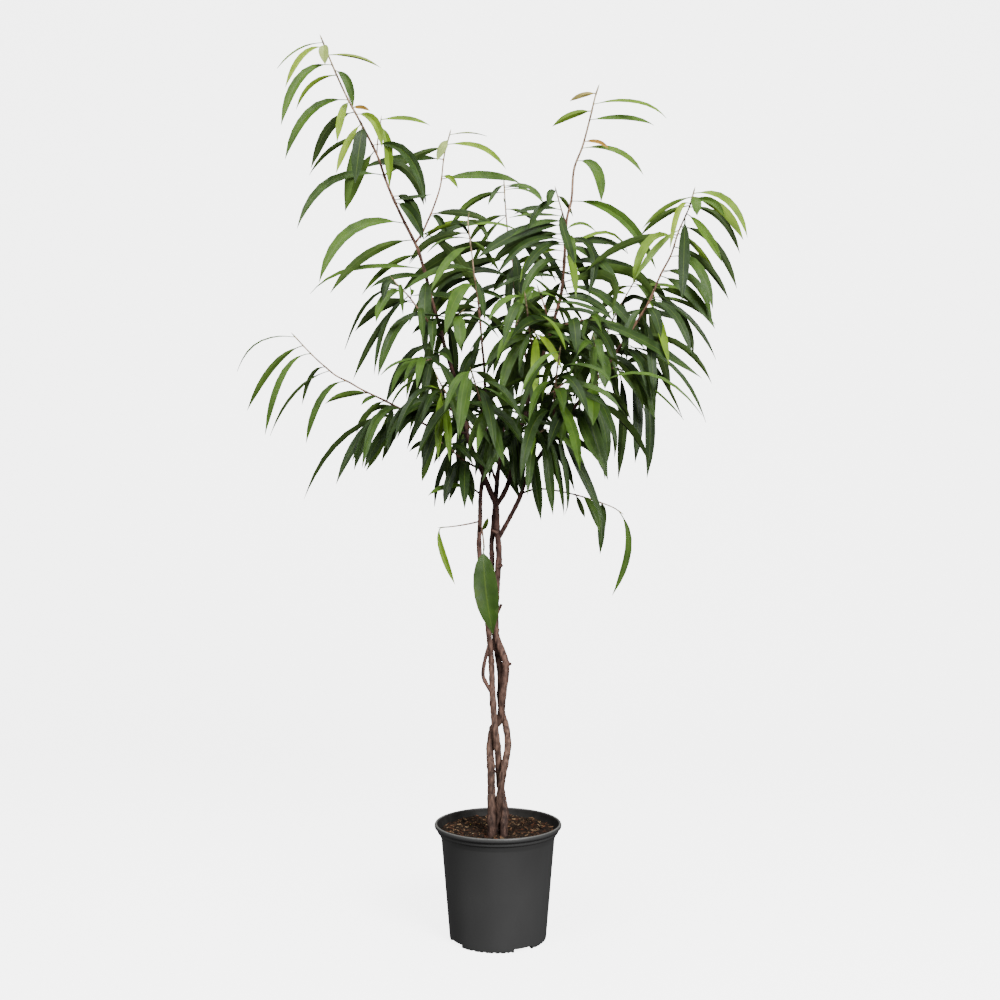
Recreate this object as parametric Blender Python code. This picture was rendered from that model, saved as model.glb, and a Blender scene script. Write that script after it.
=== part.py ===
"""A potted banana leaf fig: a braided trunk of three stems, long drooping leaves, a nursery pot.

Metres, +Z up. The origin is the middle of the pot's underside, +X is the plant's right as it is
looked at, and +Y runs away from the onlooker.
"""
import math
import random

import bmesh
import bpy
from mathutils import Matrix, Quaternion, Vector
from mathutils.bvhtree import BVHTree

MM = 0.001
GAP = 0.3 * MM

# The plant was measured from one place, level with its middle. A route's points are given in
# millimetres as they look from there: right of the pot's axis, above the floor, and how far
# behind the axis.
EYE = Vector((0.004, -2.35, 0.874))

# Pot, a ten inch grower pot. Its outer and inner side as radius and height in millimetres
POT_SIDES = 40
POT_OUTER = [(0, 0), (30, 0), (36, 2), (86, 2), (90, 0), (95.5, 0), (97, 6), (113.5, 200),
             (115.5, 204), (122.5, 219), (126.5, 220), (127, 225), (125, 228)]
POT_INNER = [(121, 227), (119.5, 218), (111, 200), (94.5, 8), (92, 4.5), (0, 4.5)]
# Gaps cut through the foot for water to drain: where each one is and how wide, in degrees
DRAINS = ((31, 24), (122, 28), (212, 28), (299, 29))
DRAIN_HEIGHT = 6.5 * MM
DRAIN_REACH = 97 * MM
DRAIN_DEPTH = 26 * MM

# Potting mix, a hair inside the pot, and the holes in which the stems stand
SOIL_SIDE = [(0, 4.8), (91, 4.8), (93.9, 9.5), (110.2, 199), (114.4, 209)]
SOIL_TOP = [(107, 215), (76, 215), (40, 215), (0, 216)]
SOIL_SIDES = 26
SOIL_UNEVEN = 1.6 * MM
STEM_FOOT = 120
HOLE_RADIUS = 8.0 * MM
HOLE_LENGTH = 140 * MM

# Stems and twigs. The stems stand in the front half of the pot, so many millimetres nearer, and
# lean back to its axis between two heights
LEAN = 46
LEAN_FOOT = 222
LEAN_TOP = 640
STEM_SIDES = 6
TWIG_SIDES = 5
STEM_STEP = 34 * MM
TWIG_STEP = 55 * MM
LAST_ROOT = 0.985

# Leaves: half the width of stalk and blade at a share of the rib, then the blade's two widest
# places as shares of the full width
STALK_HALVES = ((0.0, 1.1), (0.13, 1.5))
BLADE_HALVES = ((0.36, 0.50), (0.70, 0.42))
WIDEST = BLADE_HALVES[0][0]
RIB_STEPS = 12
KEEL = 1.3 * MM
SLENDERNESS = 0.145
WIDTHS = (9 * MM, 30 * MM)
KNEE_RISE = 0.03
KNEE_RISE_FLAT = 0.12
BENDS = (0.52, 0.78)
# How far the knee sags, as a share of the leaf's drop, for the least and the greatest bend
SAGS = (0.40, 0.04)

# Leaves that follow a rule: turned round the twig from one to the next, and falling by an angle
GOLDEN_ANGLE = 137.5
HEADING_PLAY = 20
FILL_START = 0.7
FILL_LENGTHS = (0.75, 1.08)
FILL_FALLS = (12, 62)
FILL_TURNS = (0, 45)

# A leaf that would cross another piece is swung nearer or further, in millimetres
LEAF_CLEARANCE = 0.7 * MM
SWINGS = (0, 22, -22, 44, -44, 66, -66, 90, -90, 120, -120)


def seen(x, z, back):
    """The place that is seen at x and z, as far behind the pot's axis as back says."""
    flat = Vector((x * MM, 0.0, z * MM))
    return EYE + (flat - EYE) * (1 + back * MM / -EYE.y)


def slide(point, further):
    """The point moved away from the onlooker, so that it is still seen at the same place."""
    distance = point.y - EYE.y
    return EYE + (point - EYE) * ((distance + further * MM) / distance)


def leaned(route):
    """The route with its lower points brought nearer to the onlooker by the stems' lean."""
    return [(x, z, back - LEAN * min(max((LEAN_TOP - z) / (LEAN_TOP - LEAN_FOOT), 0), 1))
            for x, z, back in route]


def smooth(points, step):
    """Points along a Catmull-Rom curve through the given points, about a step apart."""
    ends = [2 * points[0] - points[1], *points, 2 * points[-1] - points[-2]]
    curve = [points[0].copy()]
    for before, start, end, after in zip(ends, ends[1:], ends[2:], ends[3:]):
        count = max(1, round((end - start).length / step))
        for i in range(1, count + 1):
            t = i / count
            curve.append(0.5 * (2 * start + (end - before) * t
                                + (2 * before - 5 * start + 4 * end - after) * t ** 2
                                + (3 * start - before - 3 * end + after) * t ** 3))
    return curve


def lengths(curve):
    """The distance along the curve of each of its points."""
    run = [0.0]
    for a, b in zip(curve, curve[1:]):
        run.append(run[-1] + (b - a).length)
    return run


def along(curve, fraction):
    """The point at a fraction of the curve's length."""
    run = lengths(curve)
    goal = min(max(fraction, 0.0), 1.0) * run[-1]
    for i in range(1, len(run)):
        if run[i] >= goal:
            share = (goal - run[i - 1]) / max(run[i] - run[i - 1], 1e-9)
            return curve[i - 1].lerp(curve[i], share)
    return curve[-1].copy()


def split(curve, fraction):
    """The two parts of a curve, with a hair's gap between their facing ends."""
    run = lengths(curve)
    goal = fraction * run[-1]
    place = along(curve, fraction)
    first = [p for p, r in zip(curve, run) if r < goal - GAP * 10] + [place]
    second = [p for p, r in zip(curve, run) if r > goal + GAP * 10]
    heading = (second[0] - place).normalized()
    return first, [place + heading * GAP] + second, heading


def settled(name, shape):
    """An object of the shape, its faces all pointing out."""
    bmesh.ops.recalc_face_normals(shape, faces=shape.faces)
    if shape.calc_volume(signed=True) < 0:
        bmesh.ops.reverse_faces(shape, faces=shape.faces)
    mesh = bpy.data.meshes.new(name)
    shape.to_mesh(mesh)
    shape.free()
    piece = bpy.data.objects.new(name, mesh)
    bpy.context.scene.collection.objects.link(piece)
    return piece


def mesh_object(name, points, faces):
    """An object of the given points and faces."""
    shape = bmesh.new()
    corners = [shape.verts.new(point) for point in points]
    for face in faces:
        shape.faces.new([corners[i] for i in face])
    return settled(name, shape)


def skin(rings, closed_tip=False):
    """Points and faces of a closed skin over rings of points, the last of them a tip if asked."""
    points = [p for ring in rings for p in ring]
    faces = [tuple(range(len(rings[0])))]
    start = 0
    for a, b in zip(rings, rings[1:]):
        n = len(a)
        after = start + n
        for i in range(n):
            j = (i + 1) % n
            if len(b) == 1:
                faces.append((start + i, start + j, after))
            else:
                faces.append((start + i, start + j, after + j, after + i))
        start = after
    if not closed_tip:
        faces.append(tuple(range(start, len(points))))
    return points, faces


def tube(name, curve, radii, sides, first_heading=None, last_heading=None):
    """A round stem along a curve, its radius running evenly from the first to the last."""
    run = lengths(curve)
    side = None
    rings = []
    for i, centre in enumerate(curve):
        heading = (curve[min(i + 1, len(curve) - 1)] - curve[max(i - 1, 0)]).normalized()
        if i == 0 and first_heading:
            heading = first_heading
        if i == len(curve) - 1 and last_heading:
            heading = last_heading
        side = heading.orthogonal() if side is None else side - heading * side.dot(heading)
        side.normalize()
        radius = radii[0] + (radii[1] - radii[0]) * run[i] / run[-1]
        rings.append([centre + radius * (Quaternion(heading, math.tau * k / sides) @ side)
                      for k in range(sides)])
    return mesh_object(name, *skin(rings))


def leaf_rib(root, knee, tip):
    """Points along the leaf's rib: out from the twig over its knee and down to the tip."""
    shares = [i / RIB_STEPS for i in range(RIB_STEPS + 1)]
    return [root * (1 - t) ** 2 + knee * (2 * t * (1 - t)) + tip * t ** 2 for t in shares]


def blade_frame(rib, share, roll):
    """The rib's point at a share of its length, and the directions across and out of the blade."""
    centre = along(rib, share)
    heading = (along(rib, share + 0.02) - centre).normalized()
    reach = rib[-1] - rib[0]
    across = Vector((reach.y, -reach.x, 0.0)).normalized()
    side = (across - heading * across.dot(heading)).normalized()
    turned_side = Quaternion(heading, roll) @ side
    return centre, turned_side, turned_side.cross(heading)


def blade_roll(rib, turn):
    """How far the blade rolls about its rib to face the onlooker, turn at most."""
    _, side, upper = blade_frame(rib, WIDEST, 0.0)
    heading = upper.cross(side)
    over = math.pi if upper.z < 0 else 0.0
    if over:
        upper = -upper
    ahead = Vector((0.0, -1.0, 0.0))
    angle = math.atan2(heading.dot(upper.cross(ahead)), upper.dot(ahead))
    if abs(angle) > math.pi / 2:
        angle -= math.copysign(math.pi, angle)
    limit = math.radians(turn)
    return over + max(-limit, min(limit, angle))


def blade(root, knee, tip, width, turn, room=0.0):
    """Points and faces of a leaf: a stalk, a blade with a keel under its rib, and a drawn-out tip.

    The blade rolls so that one face looks at the onlooker, but no further than turn, in degrees.
    Room swells the leaf on every side.
    """
    stations = [(share, half * MM) for share, half in STALK_HALVES]
    stations += [(share, half * width) for share, half in BLADE_HALVES]
    rib = leaf_rib(root, knee, tip)
    roll = blade_roll(rib, turn)
    rings = []
    for share, half in stations:
        centre, side, upper = blade_frame(rib, share, roll)
        rings.append([centre + side * (half + room) + upper * room,
                      centre - side * (half + room) + upper * room,
                      centre - upper * (KEEL + room)])
    rings.append([tip + (tip - knee).normalized() * room])
    return skin(rings, closed_tip=True)


# The three stems of the braid, from inside the soil up to where they fork
STEM_A = [(-13, 120, -8), (-13, 205, -8), (-13, 222, -8), (-13, 274, -6), (-14, 334, -2),
          (-16, 374, 4), (-10, 414, 9), (3, 432, 8), (7, 454, 2), (10, 484, -6), (16, 538, -9),
          (10, 564, -6), (2, 584, 0), (-4, 602, 3), (-5, 634, 0), (-4, 674, 0), (0, 734, 0), (2, 754, 0),
          (1, 784, 0), (-2, 814, 0), (-4, 860, 0), (-14, 886, -2), (-24, 910, -2)]
STEM_B = [(-1, 120, 10), (-1, 205, 10), (-1, 222, 10), (0, 244, 3), (2, 267, -7), (6, 298, -13),
          (10, 324, -13), (14, 344, -11), (20, 384, -2), (15, 424, 18), (10, 440, 24),
          (4, 474, 19), (5, 514, 13), (2, 544, 13),
          (-3, 574, 18), (-8, 620, 18), (-12, 690, 17), (-12, 754, 17), (-13, 784, 18),
          (-10, 814, 20), (-6, 860, 30), (0, 930, 56)]
STEM_C = [(12, 120, -4), (12, 205, -4), (12, 222, -4), (14, 246, 2), (11, 269, 8), (7, 288, 10),
          (4, 306, 9), (2, 334, 6), (0, 364, -1), (-3, 394, -8), (-7, 424, -10), (-9, 454, -9),
          (-11, 484, -5), (-12, 514, -1), (-13, 544, -2), (-15, 574, -8), (-18, 600, -13),
          (-22, 640, -12), (-29, 700, -8), (-36, 754, -4), (-38, 790, -4), (-36, 830, 2),
          (-35, 880, 14), (-30, 920, 19), (-25, 960, 20), (-25, 1010, 20), (-26, 1064, 20)]
STEM_RADII = {"stem_a": (7.1, 5.7), "stem_b": (6.5, 4.7), "stem_c": (6.8, 3.4)}
LOOP_RADII = (2.9, 2.7)
KNOT_RADII = (4.2, 2.6)

# The thin shoot that leaves stem C low down and grows back into it
LOOP = [(-9, 480, -5), (-16, 492, -6), (-24, 506, -6), (-30, 522, -6), (-27, 548, -6), (-20, 575, -8),
        (-16, 592, -11)]

# Sawn-off knots on stem A: where they stand and where they point
KNOTS = [((-14, 326), (-4, 329, -8)), ((15, 540), (26, 545, -12)), ((-5, 640), (7, 664, -4)),
         ((1, 738), (9, 742, -8)), ((-2, 806), (-14, 812, -8))]

# Each spray grows on one stem. Its route starts inside the wood, and the first part of it, up to
# cut, is wood and belongs to that stem. Girth is its radius there and at the tip. A leaf is given
# by where it sits along the leafy part, where its tip is seen, how far the tip lies behind its
# root, and how far its face may turn to the onlooker. A few also have a width and a bow to the
# right. Fill leaves follow a rule instead.
SPRAYS = {
    "spray_leader_left": {
        "stem": "stem_a", "cut": 0.445, "girth": (5.2, 1.6),
        "route": [(-22, 906, -2), (-34, 934, 0), (-47, 962, 0), (-56, 984, 0), (-66, 1024, 4),
                  (-74, 1064, 6), (-86, 1114, 8), (-104, 1170, 10), (-116, 1218, 12), (-132, 1270, 14),
                  (-144, 1320, 14), (-150, 1340, 12), (-162, 1378, 8), (-192, 1438, 0),
                  (-220, 1500, -10), (-242, 1562, -20), (-274, 1625, -32), (-302, 1677, -42),
                  (-326, 1729, -52), (-353, 1794, -60)],
        "leaves": [(1.00, -442, 1734, -20, 20, 8), (0.98, -426, 1694, -70, 80, 11),
                   (0.91, -434, 1620, -30, 80, 16), (0.87, -404, 1652, 30, 50, 8),
                   (0.77, -426, 1552, -30, 80, 17), (0.76, -322, 1586, -60, 85, 14),
                   (0.72, -374, 1536, 40, 80, 19), (0.62, -378, 1522, 60, 60, 9),
                   (0.67, -324, 1524, -50, 85, 13), (0.65, -286, 1502, -90, 85, 24),
                   (0.56, -306, 1450, 50, 85, 17), (0.46, -402, 1414, -40, 80, 15),
                   (0.26, -358, 1306, -50, 80, 20), (0.19, -336, 1286, 20, 80, 17),
                   (0.13, -272, 1284, 60, 75, 12), (0.07, -376, 1286, 50, 70, 11),
                   (0.04, -256, 1296, -30, 75, 13), (0.95, -234, 1736, 30, 50, 7),
                   (0.89, -290, 1656, -40, 80, 16, 12), (0.74, -256, 1650, 10, 80, 9),
                   (0.71, -232, 1576, -30, 85, 17, 10), (0.58, -144, 1464, -30, 85, 20),
                   (0.35, -148, 1392, -40, 85, 22), (0.36, -134, 1484, 30, 60, 10),
                   (0.99, -346, 1742, -20, 85, 20), (0.02, -146, 1212, -60, 80, 24)],
        "twigs": [{
            "girth": (2.4, 1.4),
            "route": [(-166, 1386, 6), (-152, 1406, 30), (-142, 1428, 44), (-130, 1456, 55),
                      (-115, 1503, 70), (-108, 1560, 80), (-96, 1608, 85)],
            "leaves": [(1.00, -22, 1602, 20, 20, 7), (0.92, 16, 1535, -20, 75, 11),
                       (0.96, -122, 1552, -30, 80, 16), (0.90, -233, 1519, 20, 80, 13),
                       (0.80, -276, 1535, 40, 80, 16), (0.64, 46, 1506, 30, 80, 16),
                       (0.66, -80, 1496, -30, 80, 9), (0.33, -8, 1426, 20, 80, 13),
                       (0.31, -102, 1394, -30, 80, 14)]}, {
            "girth": (1.4, 1.1),
            "route": [(-242, 1562, -20), (-241, 1588, -12), (-237, 1612, -4), (-234, 1634, 2)],
            "leaves": [(1.00, -136, 1622, 20, 75, 10), (0.82, -217, 1496, -40, 80, 18, 12)]}],
    },
    "spray_leader_thin": {
        "stem": "stem_c", "cut": 0.22, "girth": (3.2, 1.4),
        "route": [(-26, 1060, 20), (-26, 1104, 20), (-28, 1144, 20), (-32, 1184, 20), (-36, 1234, 18),
                  (-40, 1274, 16), (-44, 1304, 14), (-49, 1333, 12), (-52, 1362, 10), (-56, 1392, 8),
                  (-60, 1426, 6), (-59, 1440, 6)],
        "leaves": [(0.55, -106, 1200, -70, 80, 22), (0.58, -26, 1230, -60, 85), (0.29, -116, 1198, 20, 60),
                   (0.36, -124, 1238, 40, 60), (0.43, -172, 1282, 30, 50), (0.10, -78, 1088, -70, 80),
                   (0.20, -50, 1130, -50, 85), (0.50, 14, 1270, -30, 85), (0.81, -134, 1290, -50, 80),
                   (0.90, -178, 1348, 20, 70), (0.98, -150, 1394, 40, 60), (0.99, -20, 1390, 20, 70),
                   (0.85, 4, 1328, 60, 80)],
        "fill": 2, "size": 150,
    },
    "spray_leader_tall": {
        "stem": "stem_a", "cut": 0.475, "girth": (5.2, 1.6),
        "route": [(-4, 862, 0), (10, 882, -4), (22, 910, -8), (30, 944, -8), (36, 984, -4),
                  (42, 1014, 0), (54, 1034, 4), (60, 1074, 8), (64, 1104, 12), (80, 1134, 16),
                  (94, 1174, 20), (106, 1214, 22), (124, 1274, 26), (130, 1314, 28), (133, 1358, 30),
                  (137, 1430, 34), (147, 1474, 34), (152, 1534, 32), (169, 1580, 30), (184, 1636, 28),
                  (194, 1678, 26), (200, 1697, 26)],
        "leaves": [(0.99, 143, 1670, 0, 70, 9), (0.94, 337, 1636, -30, 60, 10),
                   (0.91, 108, 1620, 30, 70, 13), (0.87, 312, 1623, 40, 65, 13),
                   (0.74, 291, 1522, -30, 70, 11), (0.77, 222, 1575, -20, 70, 9),
                   (0.68, 206, 1468, -50, 80, 20, 20), (0.50, 316, 1334, -40, 85, 20),
                   (0.39, -42, 1356, -20, 70),
                   (0.35, -16, 1340, 30, 70), (0.30, 38, 1370, 60, 60), (0.31, 48, 1314, -60, 80),
                   (0.33, 156, 1347, -70, 80), (0.25, 156, 1276, -60, 80), (0.30, 184, 1282, 40, 85),
                   (0.30, 244, 1300, -20, 70), (0.20, 56, 1314, 30, 75), (0.32, 260, 1366, 40, 60),
                   (0.31, 219, 1384, 70, 55), (0.22, 304, 1312, 60, 50), (0.06, 224, 1242, -20, 70),
                   (0.10, 40, 1236, 40, 70), (0.14, 90, 1230, 60, 80), (0.02, 150, 1214, 50, 70)],
        "twigs": [{
            "girth": (1.9, 1.4),
            "route": [(137, 1424, 34), (129, 1446, 20), (121, 1474, 10), (116, 1492, 5)],
            "leaves": [(0.99, 100, 1460, -30, 85, 14), (0.70, 60, 1414, -20, 80, 15),
                       (0.85, 150, 1440, 30, 75, 9), (0.35, 154, 1342, -40, 85, 16, -26)]}],
    },
    "spray_leader_right": {
        "stem": "stem_a", "cut": 0.55, "girth": (4.8, 1.5),
        "route": [(2, 798, 0), (24, 838, -8), (44, 878, -12), (56, 914, -14), (86, 964, -18),
                  (116, 1004, -22), (148, 1050, -26), (174, 1084, -30), (198, 1114, -32),
                  (230, 1158, -34), (268, 1214, -36), (300, 1264, -36), (314, 1296, -36),
                  (327, 1326, -36), (346, 1362, -36), (361, 1408, -36), (382, 1456, -36),
                  (392, 1490, -36)],
        "leaves": [(1.00, 499, 1396, -20, 70, 14), (0.98, 491, 1392, 40, 80, 18),
                   (0.95, 454, 1436, -60, 70, 12), (0.92, 484, 1364, 10, 75, 12),
                   (0.98, 398, 1440, -40, 85, 18), (0.88, 448, 1346, -40, 85, 16),
                   (0.80, 478, 1294, 30, 70, 13), (0.76, 442, 1310, 70, 65, 11),
                   (0.68, 462, 1272, 20, 60, 13), (0.62, 430, 1252, -50, 80, 17),
                   (0.53, 424, 1254, 50, 65, 14), (0.50, 434, 1214, 0, 80, 20),
                   (0.98, 288, 1414, 10, 60, 9), (0.93, 284, 1400, 60, 70, 11),
                   (0.94, 344, 1372, -60, 85, 11), (0.78, 274, 1314, -30, 75, 12),
                   (0.75, 174, 1328, 40, 65, 14), (0.86, 368, 1268, -60, 85, 21),
                   (0.34, 342, 1142, -60, 80, 15), (0.30, 326, 1194, -70, 85, 17),
                   (0.37, 436, 1222, 40, 50, 9), (0.36, 436, 1152, -10, 65, 11),
                   (0.34, 388, 1160, -50, 80, 14), (0.25, 312, 1070, -40, 85, 17),
                   (0.21, 346, 1082, 50, 85, 16), (0.12, 428, 1104, 20, 60, 12),
                   (0.04, 416, 1026, -30, 50, 11), (0.03, 314, 1038, -50, 80, 19),
                   (0.07, 370, 1034, 60, 20, 8)],
    },
    "spray_leader_back": {
        "stem": "stem_b", "cut": 0.30, "girth": (4.4, 1.5),
        "route": [(0, 926, 54), (10, 1010, 95), (20, 1090, 130), (30, 1180, 165), (44, 1270, 195),
                  (56, 1350, 220)],
        "leaves": [], "fill": 15, "size": 205,
    },
    "spray_far_left": {
        "stem": "stem_a", "cut": 0.30, "girth": (2.8, 1.3),
        "route": [(-62, 1006, 2), (-96, 1010, -10), (-136, 1018, -25), (-176, 1042, -40),
                  (-196, 1054, -45), (-226, 1070, -50), (-272, 1092, -55), (-296, 1106, -58),
                  (-324, 1120, -60), (-346, 1138, -60), (-362, 1152, -60), (-384, 1174, -60),
                  (-408, 1200, -60)],
        "leaves": [(1.00, -522, 1128, -10, 15, 8), (0.92, -502, 1050, 30, 75, 13),
                   (0.84, -466, 1000, -30, 80, 13), (0.70, -392, 1062, 30, 60, 9),
                   (0.66, -456, 1000, 50, 10, 8), (0.52, -384, 984, -20, 75, 13),
                   (0.34, -346, 1064, 30, 70, 12), (0.28, -274, 1060, -30, 60, 8),
                   (0.22, -284, 1006, 40, 70, 11), (0.10, -288, 930, -40, 85, 17),
                   (0.04, -268, 934, -10, 80, 18), (0.03, -388, 874, 30, 50, 11),
                   (0.12, -324, 902, -50, 80, 15), (0.16, -220, 966, -30, 80, 13),
                   (0.02, -232, 950, 40, 80, 16)],
    },
    "spray_left_mid": {
        "stem": "stem_a", "cut": 0.16, "girth": (2.4, 1.3),
        "route": [(-110, 1194, 11), (-124, 1210, -15), (-154, 1246, -40), (-178, 1278, -60),
                  (-194, 1294, -66), (-210, 1312, -70)],
        "leaves": [(1.00, -230, 1270, -20, 80, 10), (0.80, -244, 1226, -40, 85, 16),
                   (0.70, -290, 1112, 20, 65, 12), (0.62, -248, 1122, -20, 65, 11),
                   (0.35, -240, 1118, -50, 85, 19), (0.30, -146, 1160, -60, 80),
                   (0.45, -150, 1184, -80, 85), (0.90, -190, 1240, -60, 80)],
    },
    "spray_left_low": {
        "stem": "stem_a", "cut": 0.3, "girth": (2.2, 1.3),
        "route": [(-103, 1168, 10), (-120, 1160, -30), (-136, 1152, -60), (-152, 1150, -85)],
        "leaves": [(0.10, -224, 1066, -10, 55), (0.30, -148, 1066, -60, 80), (0.60, -214, 1082, -40, 40),
                   (0.90, -188, 1100, -60, 50)],
        "fill": 4, "size": 180,
    },
    "spray_left_inner": {
        "stem": "stem_a", "cut": 0.3, "girth": (2.4, 1.3),
        "route": [(-66, 1024, 4), (-86, 1044, -30), (-106, 1068, -60), (-116, 1092, -84)],
        "leaves": [(0.70, -14, 980, -50, 70), (0.30, -202, 994, -20, 60), (0.60, -226, 974, -60, 60),
                   (0.90, -120, 950, -60, 80)],
        "fill": 6, "size": 185,
    },
    "spray_left_down": {
        "stem": "stem_a", "cut": 0.25, "girth": (2.6, 1.3),
        "route": [(-34, 934, -1), (-56, 944, -24), (-76, 956, -42), (-96, 974, -55), (-122, 992, -62)],
        "leaves": [(0.35, -108, 860, -30, 80, 16), (0.60, -102, 912, 20, 60, 12),
                   (0.95, -142, 960, -30, 40), (1.00, -152, 908, -40, 75, 15),
                   (0.98, -178, 968, 30, 50)],
    },
    "spray_low_left": {
        "stem": "stem_c", "cut": 0.14, "girth": (1.9, 1.3),
        "route": [(-36, 830, 2), (-60, 824, -20), (-90, 819, -30), (-112, 817, -34)],
        "leaves": [(1.00, -86, 702, -20, 60, 12, -40)],
    },
    "spray_low_front": {
        "stem": "stem_c", "cut": 0.35, "girth": (2.2, 1.6),
        "route": [(-37, 806, 0), (-36, 818, -22), (-33, 816, -42), (-30, 798, -56), (-28, 778, -60)],
        "leaves": [(1.00, -10, 602, -30, 88, 42, -16), (0.42, -20, 836, -40, 55)],
    },
    "spray_fork_left": {
        "stem": "stem_c", "cut": 0.4, "girth": (2.2, 1.4),
        "route": [(-35, 884, 14), (-48, 894, 2), (-58, 898, -14), (-64, 900, -30)],
        "leaves": [(0.60, -140, 880, -40, 50, 12), (1.00, -50, 858, -70, 70, 12)],
    },
    "spray_diagonal": {
        "stem": "stem_a", "cut": 0.12, "girth": (2.3, 1.3),
        "route": [(48, 886, -12), (76, 894, -22), (108, 892, -28), (148, 884, -32), (190, 872, -34),
                  (228, 858, -34), (244, 848, -34)],
        "leaves": [(1.00, 228, 680, -10, 70, 13, 54), (0.66, 204, 762, -30, 80, 15, 14),
                   (0.76, 210, 800, 20, 85, 12, 10), (0.48, 174, 836, 20, 80, 9),
                   (0.55, 204, 806, -40, 85, 14)],
    },
    "spray_centre_low": {
        "stem": "stem_a", "cut": 0.3, "girth": (2.6, 1.4),
        "route": [(36, 984, -4), (54, 992, -30), (74, 1002, -55), (94, 1012, -72)],
        "leaves": [(0.20, 144, 934, -30, 70), (0.60, 104, 944, -70, 60), (0.80, 110, 840, -40, 85),
                   (0.30, 86, 830, -10, 80), (0.90, 132, 840, 20, 60, 12), (1.00, 174, 940, -30, 60)],
        "fill": 4, "size": 165,
    },
    "spray_centre_left": {
        "stem": "stem_a", "cut": 0.25, "girth": (2.6, 1.4),
        "route": [(42, 1014, 0), (24, 1026, -40), (6, 1038, -70), (-8, 1052, -88)],
        "leaves": [(0.20, -46, 918, -40, 60), (0.50, 34, 1010, -90, 80), (0.80, -28, 914, -20, 70),
                   (0.40, 34, 894, -30, 70), (1.00, -60, 960, -60, 70),
                   (0.10, 46, 886, 60, 80, 24)],
        "fill": 6, "size": 185,
    },
    "spray_right_low": {
        "stem": "stem_a", "cut": 0.25, "girth": (2.4, 1.4),
        "route": [(148, 1050, -26), (160, 1066, -54), (178, 1086, -80), (196, 1100, -98)],
        "leaves": [(0.20, 214, 912, -20, 70, 17), (0.80, 190, 1018, -60, 85, 26), (0.50, 216, 938, 10, 70, 17),
                   (0.30, 220, 910, -50, 55)],
        "fill": 6, "size": 185,
    },
    "spray_right_hang": {
        "stem": "stem_a", "cut": 0.22, "girth": (2.4, 1.4),
        "route": [(210, 1132, -33), (228, 1136, -10), (250, 1132, 10), (276, 1124, 22)],
        "leaves": [(0.40, 240, 914, -20, 80, 19, 26), (0.80, 274, 946, -30, 80, 19, 24),
                   (1.00, 298, 916, -20, 80, 19, 30)],
        "fill": 1, "size": 170,
    },
    "spray_right_thin": {
        "stem": "stem_a", "cut": 0.22, "girth": (2.2, 1.3),
        "route": [(176, 1087, -30), (192, 1134, 10), (216, 1204, 50), (238, 1250, 70), (256, 1282, 80),
                  (274, 1314, 84)],
        "leaves": [(0.70, 230, 1238, -40, 80), (0.98, 314, 1250, -60, 85), (0.80, 258, 1150, -40, 85),
                   (0.62, 384, 1222, 20, 50), (0.95, 204, 1250, 40, 70), (0.86, 228, 1284, -20, 60)],
        "fill": 4, "size": 180,
    },
    "spray_centre_up": {
        "stem": "stem_a", "cut": 0.25, "girth": (2.5, 1.4),
        "route": [(94, 1174, 20), (86, 1186, -20), (78, 1198, -60), (70, 1210, -92)],
        "leaves": [(0.30, 4, 1074, -50, 80), (0.80, 128, 1130, -60, 85), (0.50, 70, 1034, -30, 70),
                   (0.70, 74, 1070, -60, 70), (0.90, 0, 1214, 10, 50)],
        "fill": 4, "size": 175,
    },
    "spray_centre_right": {
        "stem": "stem_a", "cut": 0.25, "girth": (2.4, 1.4),
        "route": [(106, 1214, 22), (124, 1220, -2), (154, 1228, -27), (184, 1234, -42)],
        "leaves": [(0.30, 294, 1174, -20, 55), (0.60, 224, 1200, -40, 55), (1.00, 170, 1192, -20, 55)],
        "fill": 4, "size": 175,
    },
    "spray_behind": {
        "stem": "stem_a", "cut": 0.30, "girth": (3.0, 1.4),
        "route": [(65, 1106, 12), (60, 1134, 40), (54, 1170, 70), (48, 1204, 90), (40, 1250, 110),
                  (30, 1316, 125), (30, 1347, 130), (20, 1406, 135), (15, 1460, 138), (12, 1510, 140)],
        "leaves": [(1.00, -20, 1464, -30, 50), (0.95, -98, 1411, 20, 55), (0.98, 64, 1494, 20, 40),
                   (0.88, 12, 1470, -40, 55), (0.84, 90, 1410, 30, 50), (0.80, -60, 1385, 40, 55),
                   (0.50, -142, 1224, 20, 50), (0.62, -194, 1290, 40, 40), (0.55, 46, 1214, -40, 60),
                   (0.45, -10, 1290, 30, 40), (0.99, 90, 1474, -20, 45, 12)],
        "fill": 6, "size": 185,
    },
    "spray_back_left": {
        "stem": "stem_b", "cut": 0.3, "girth": (3.0, 1.4),
        "route": [(-2, 905, 46), (-30, 980, 100), (-70, 1040, 150), (-110, 1100, 200),
                  (-140, 1160, 240)],
        "leaves": [], "fill": 11, "size": 195,
    },
    "spray_back_right": {
        "stem": "stem_b", "cut": 0.3, "girth": (3.0, 1.4),
        "route": [(4, 966, 74), (60, 1050, 140), (120, 1100, 190), (180, 1150, 230), (220, 1210, 255)],
        "leaves": [], "fill": 11, "size": 195,
    },
    "spray_left_front": {
        "stem": "stem_a", "cut": 0.25, "girth": (2.2, 1.3),
        "route": [(-116, 1218, 12), (-102, 1226, -14), (-86, 1238, -42), (-70, 1250, -66)],
        "leaves": [(0.60, -76, 1174, -30, 70, 22), (0.30, -172, 1204, 20, 50, 12)],
        "fill": 4, "size": 165,
    },
    "spray_right_front": {
        "stem": "stem_a", "cut": 0.25, "girth": (2.2, 1.3),
        "route": [(198, 1114, -32), (198, 1136, -56), (196, 1164, -86), (192, 1192, -114)],
        "leaves": [(0.50, 214, 1092, -40, 80, 24)],
        "fill": 5, "size": 175,
    },
    "spray_centre_top": {
        "stem": "stem_a", "cut": 0.25, "girth": (2.2, 1.3),
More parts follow.
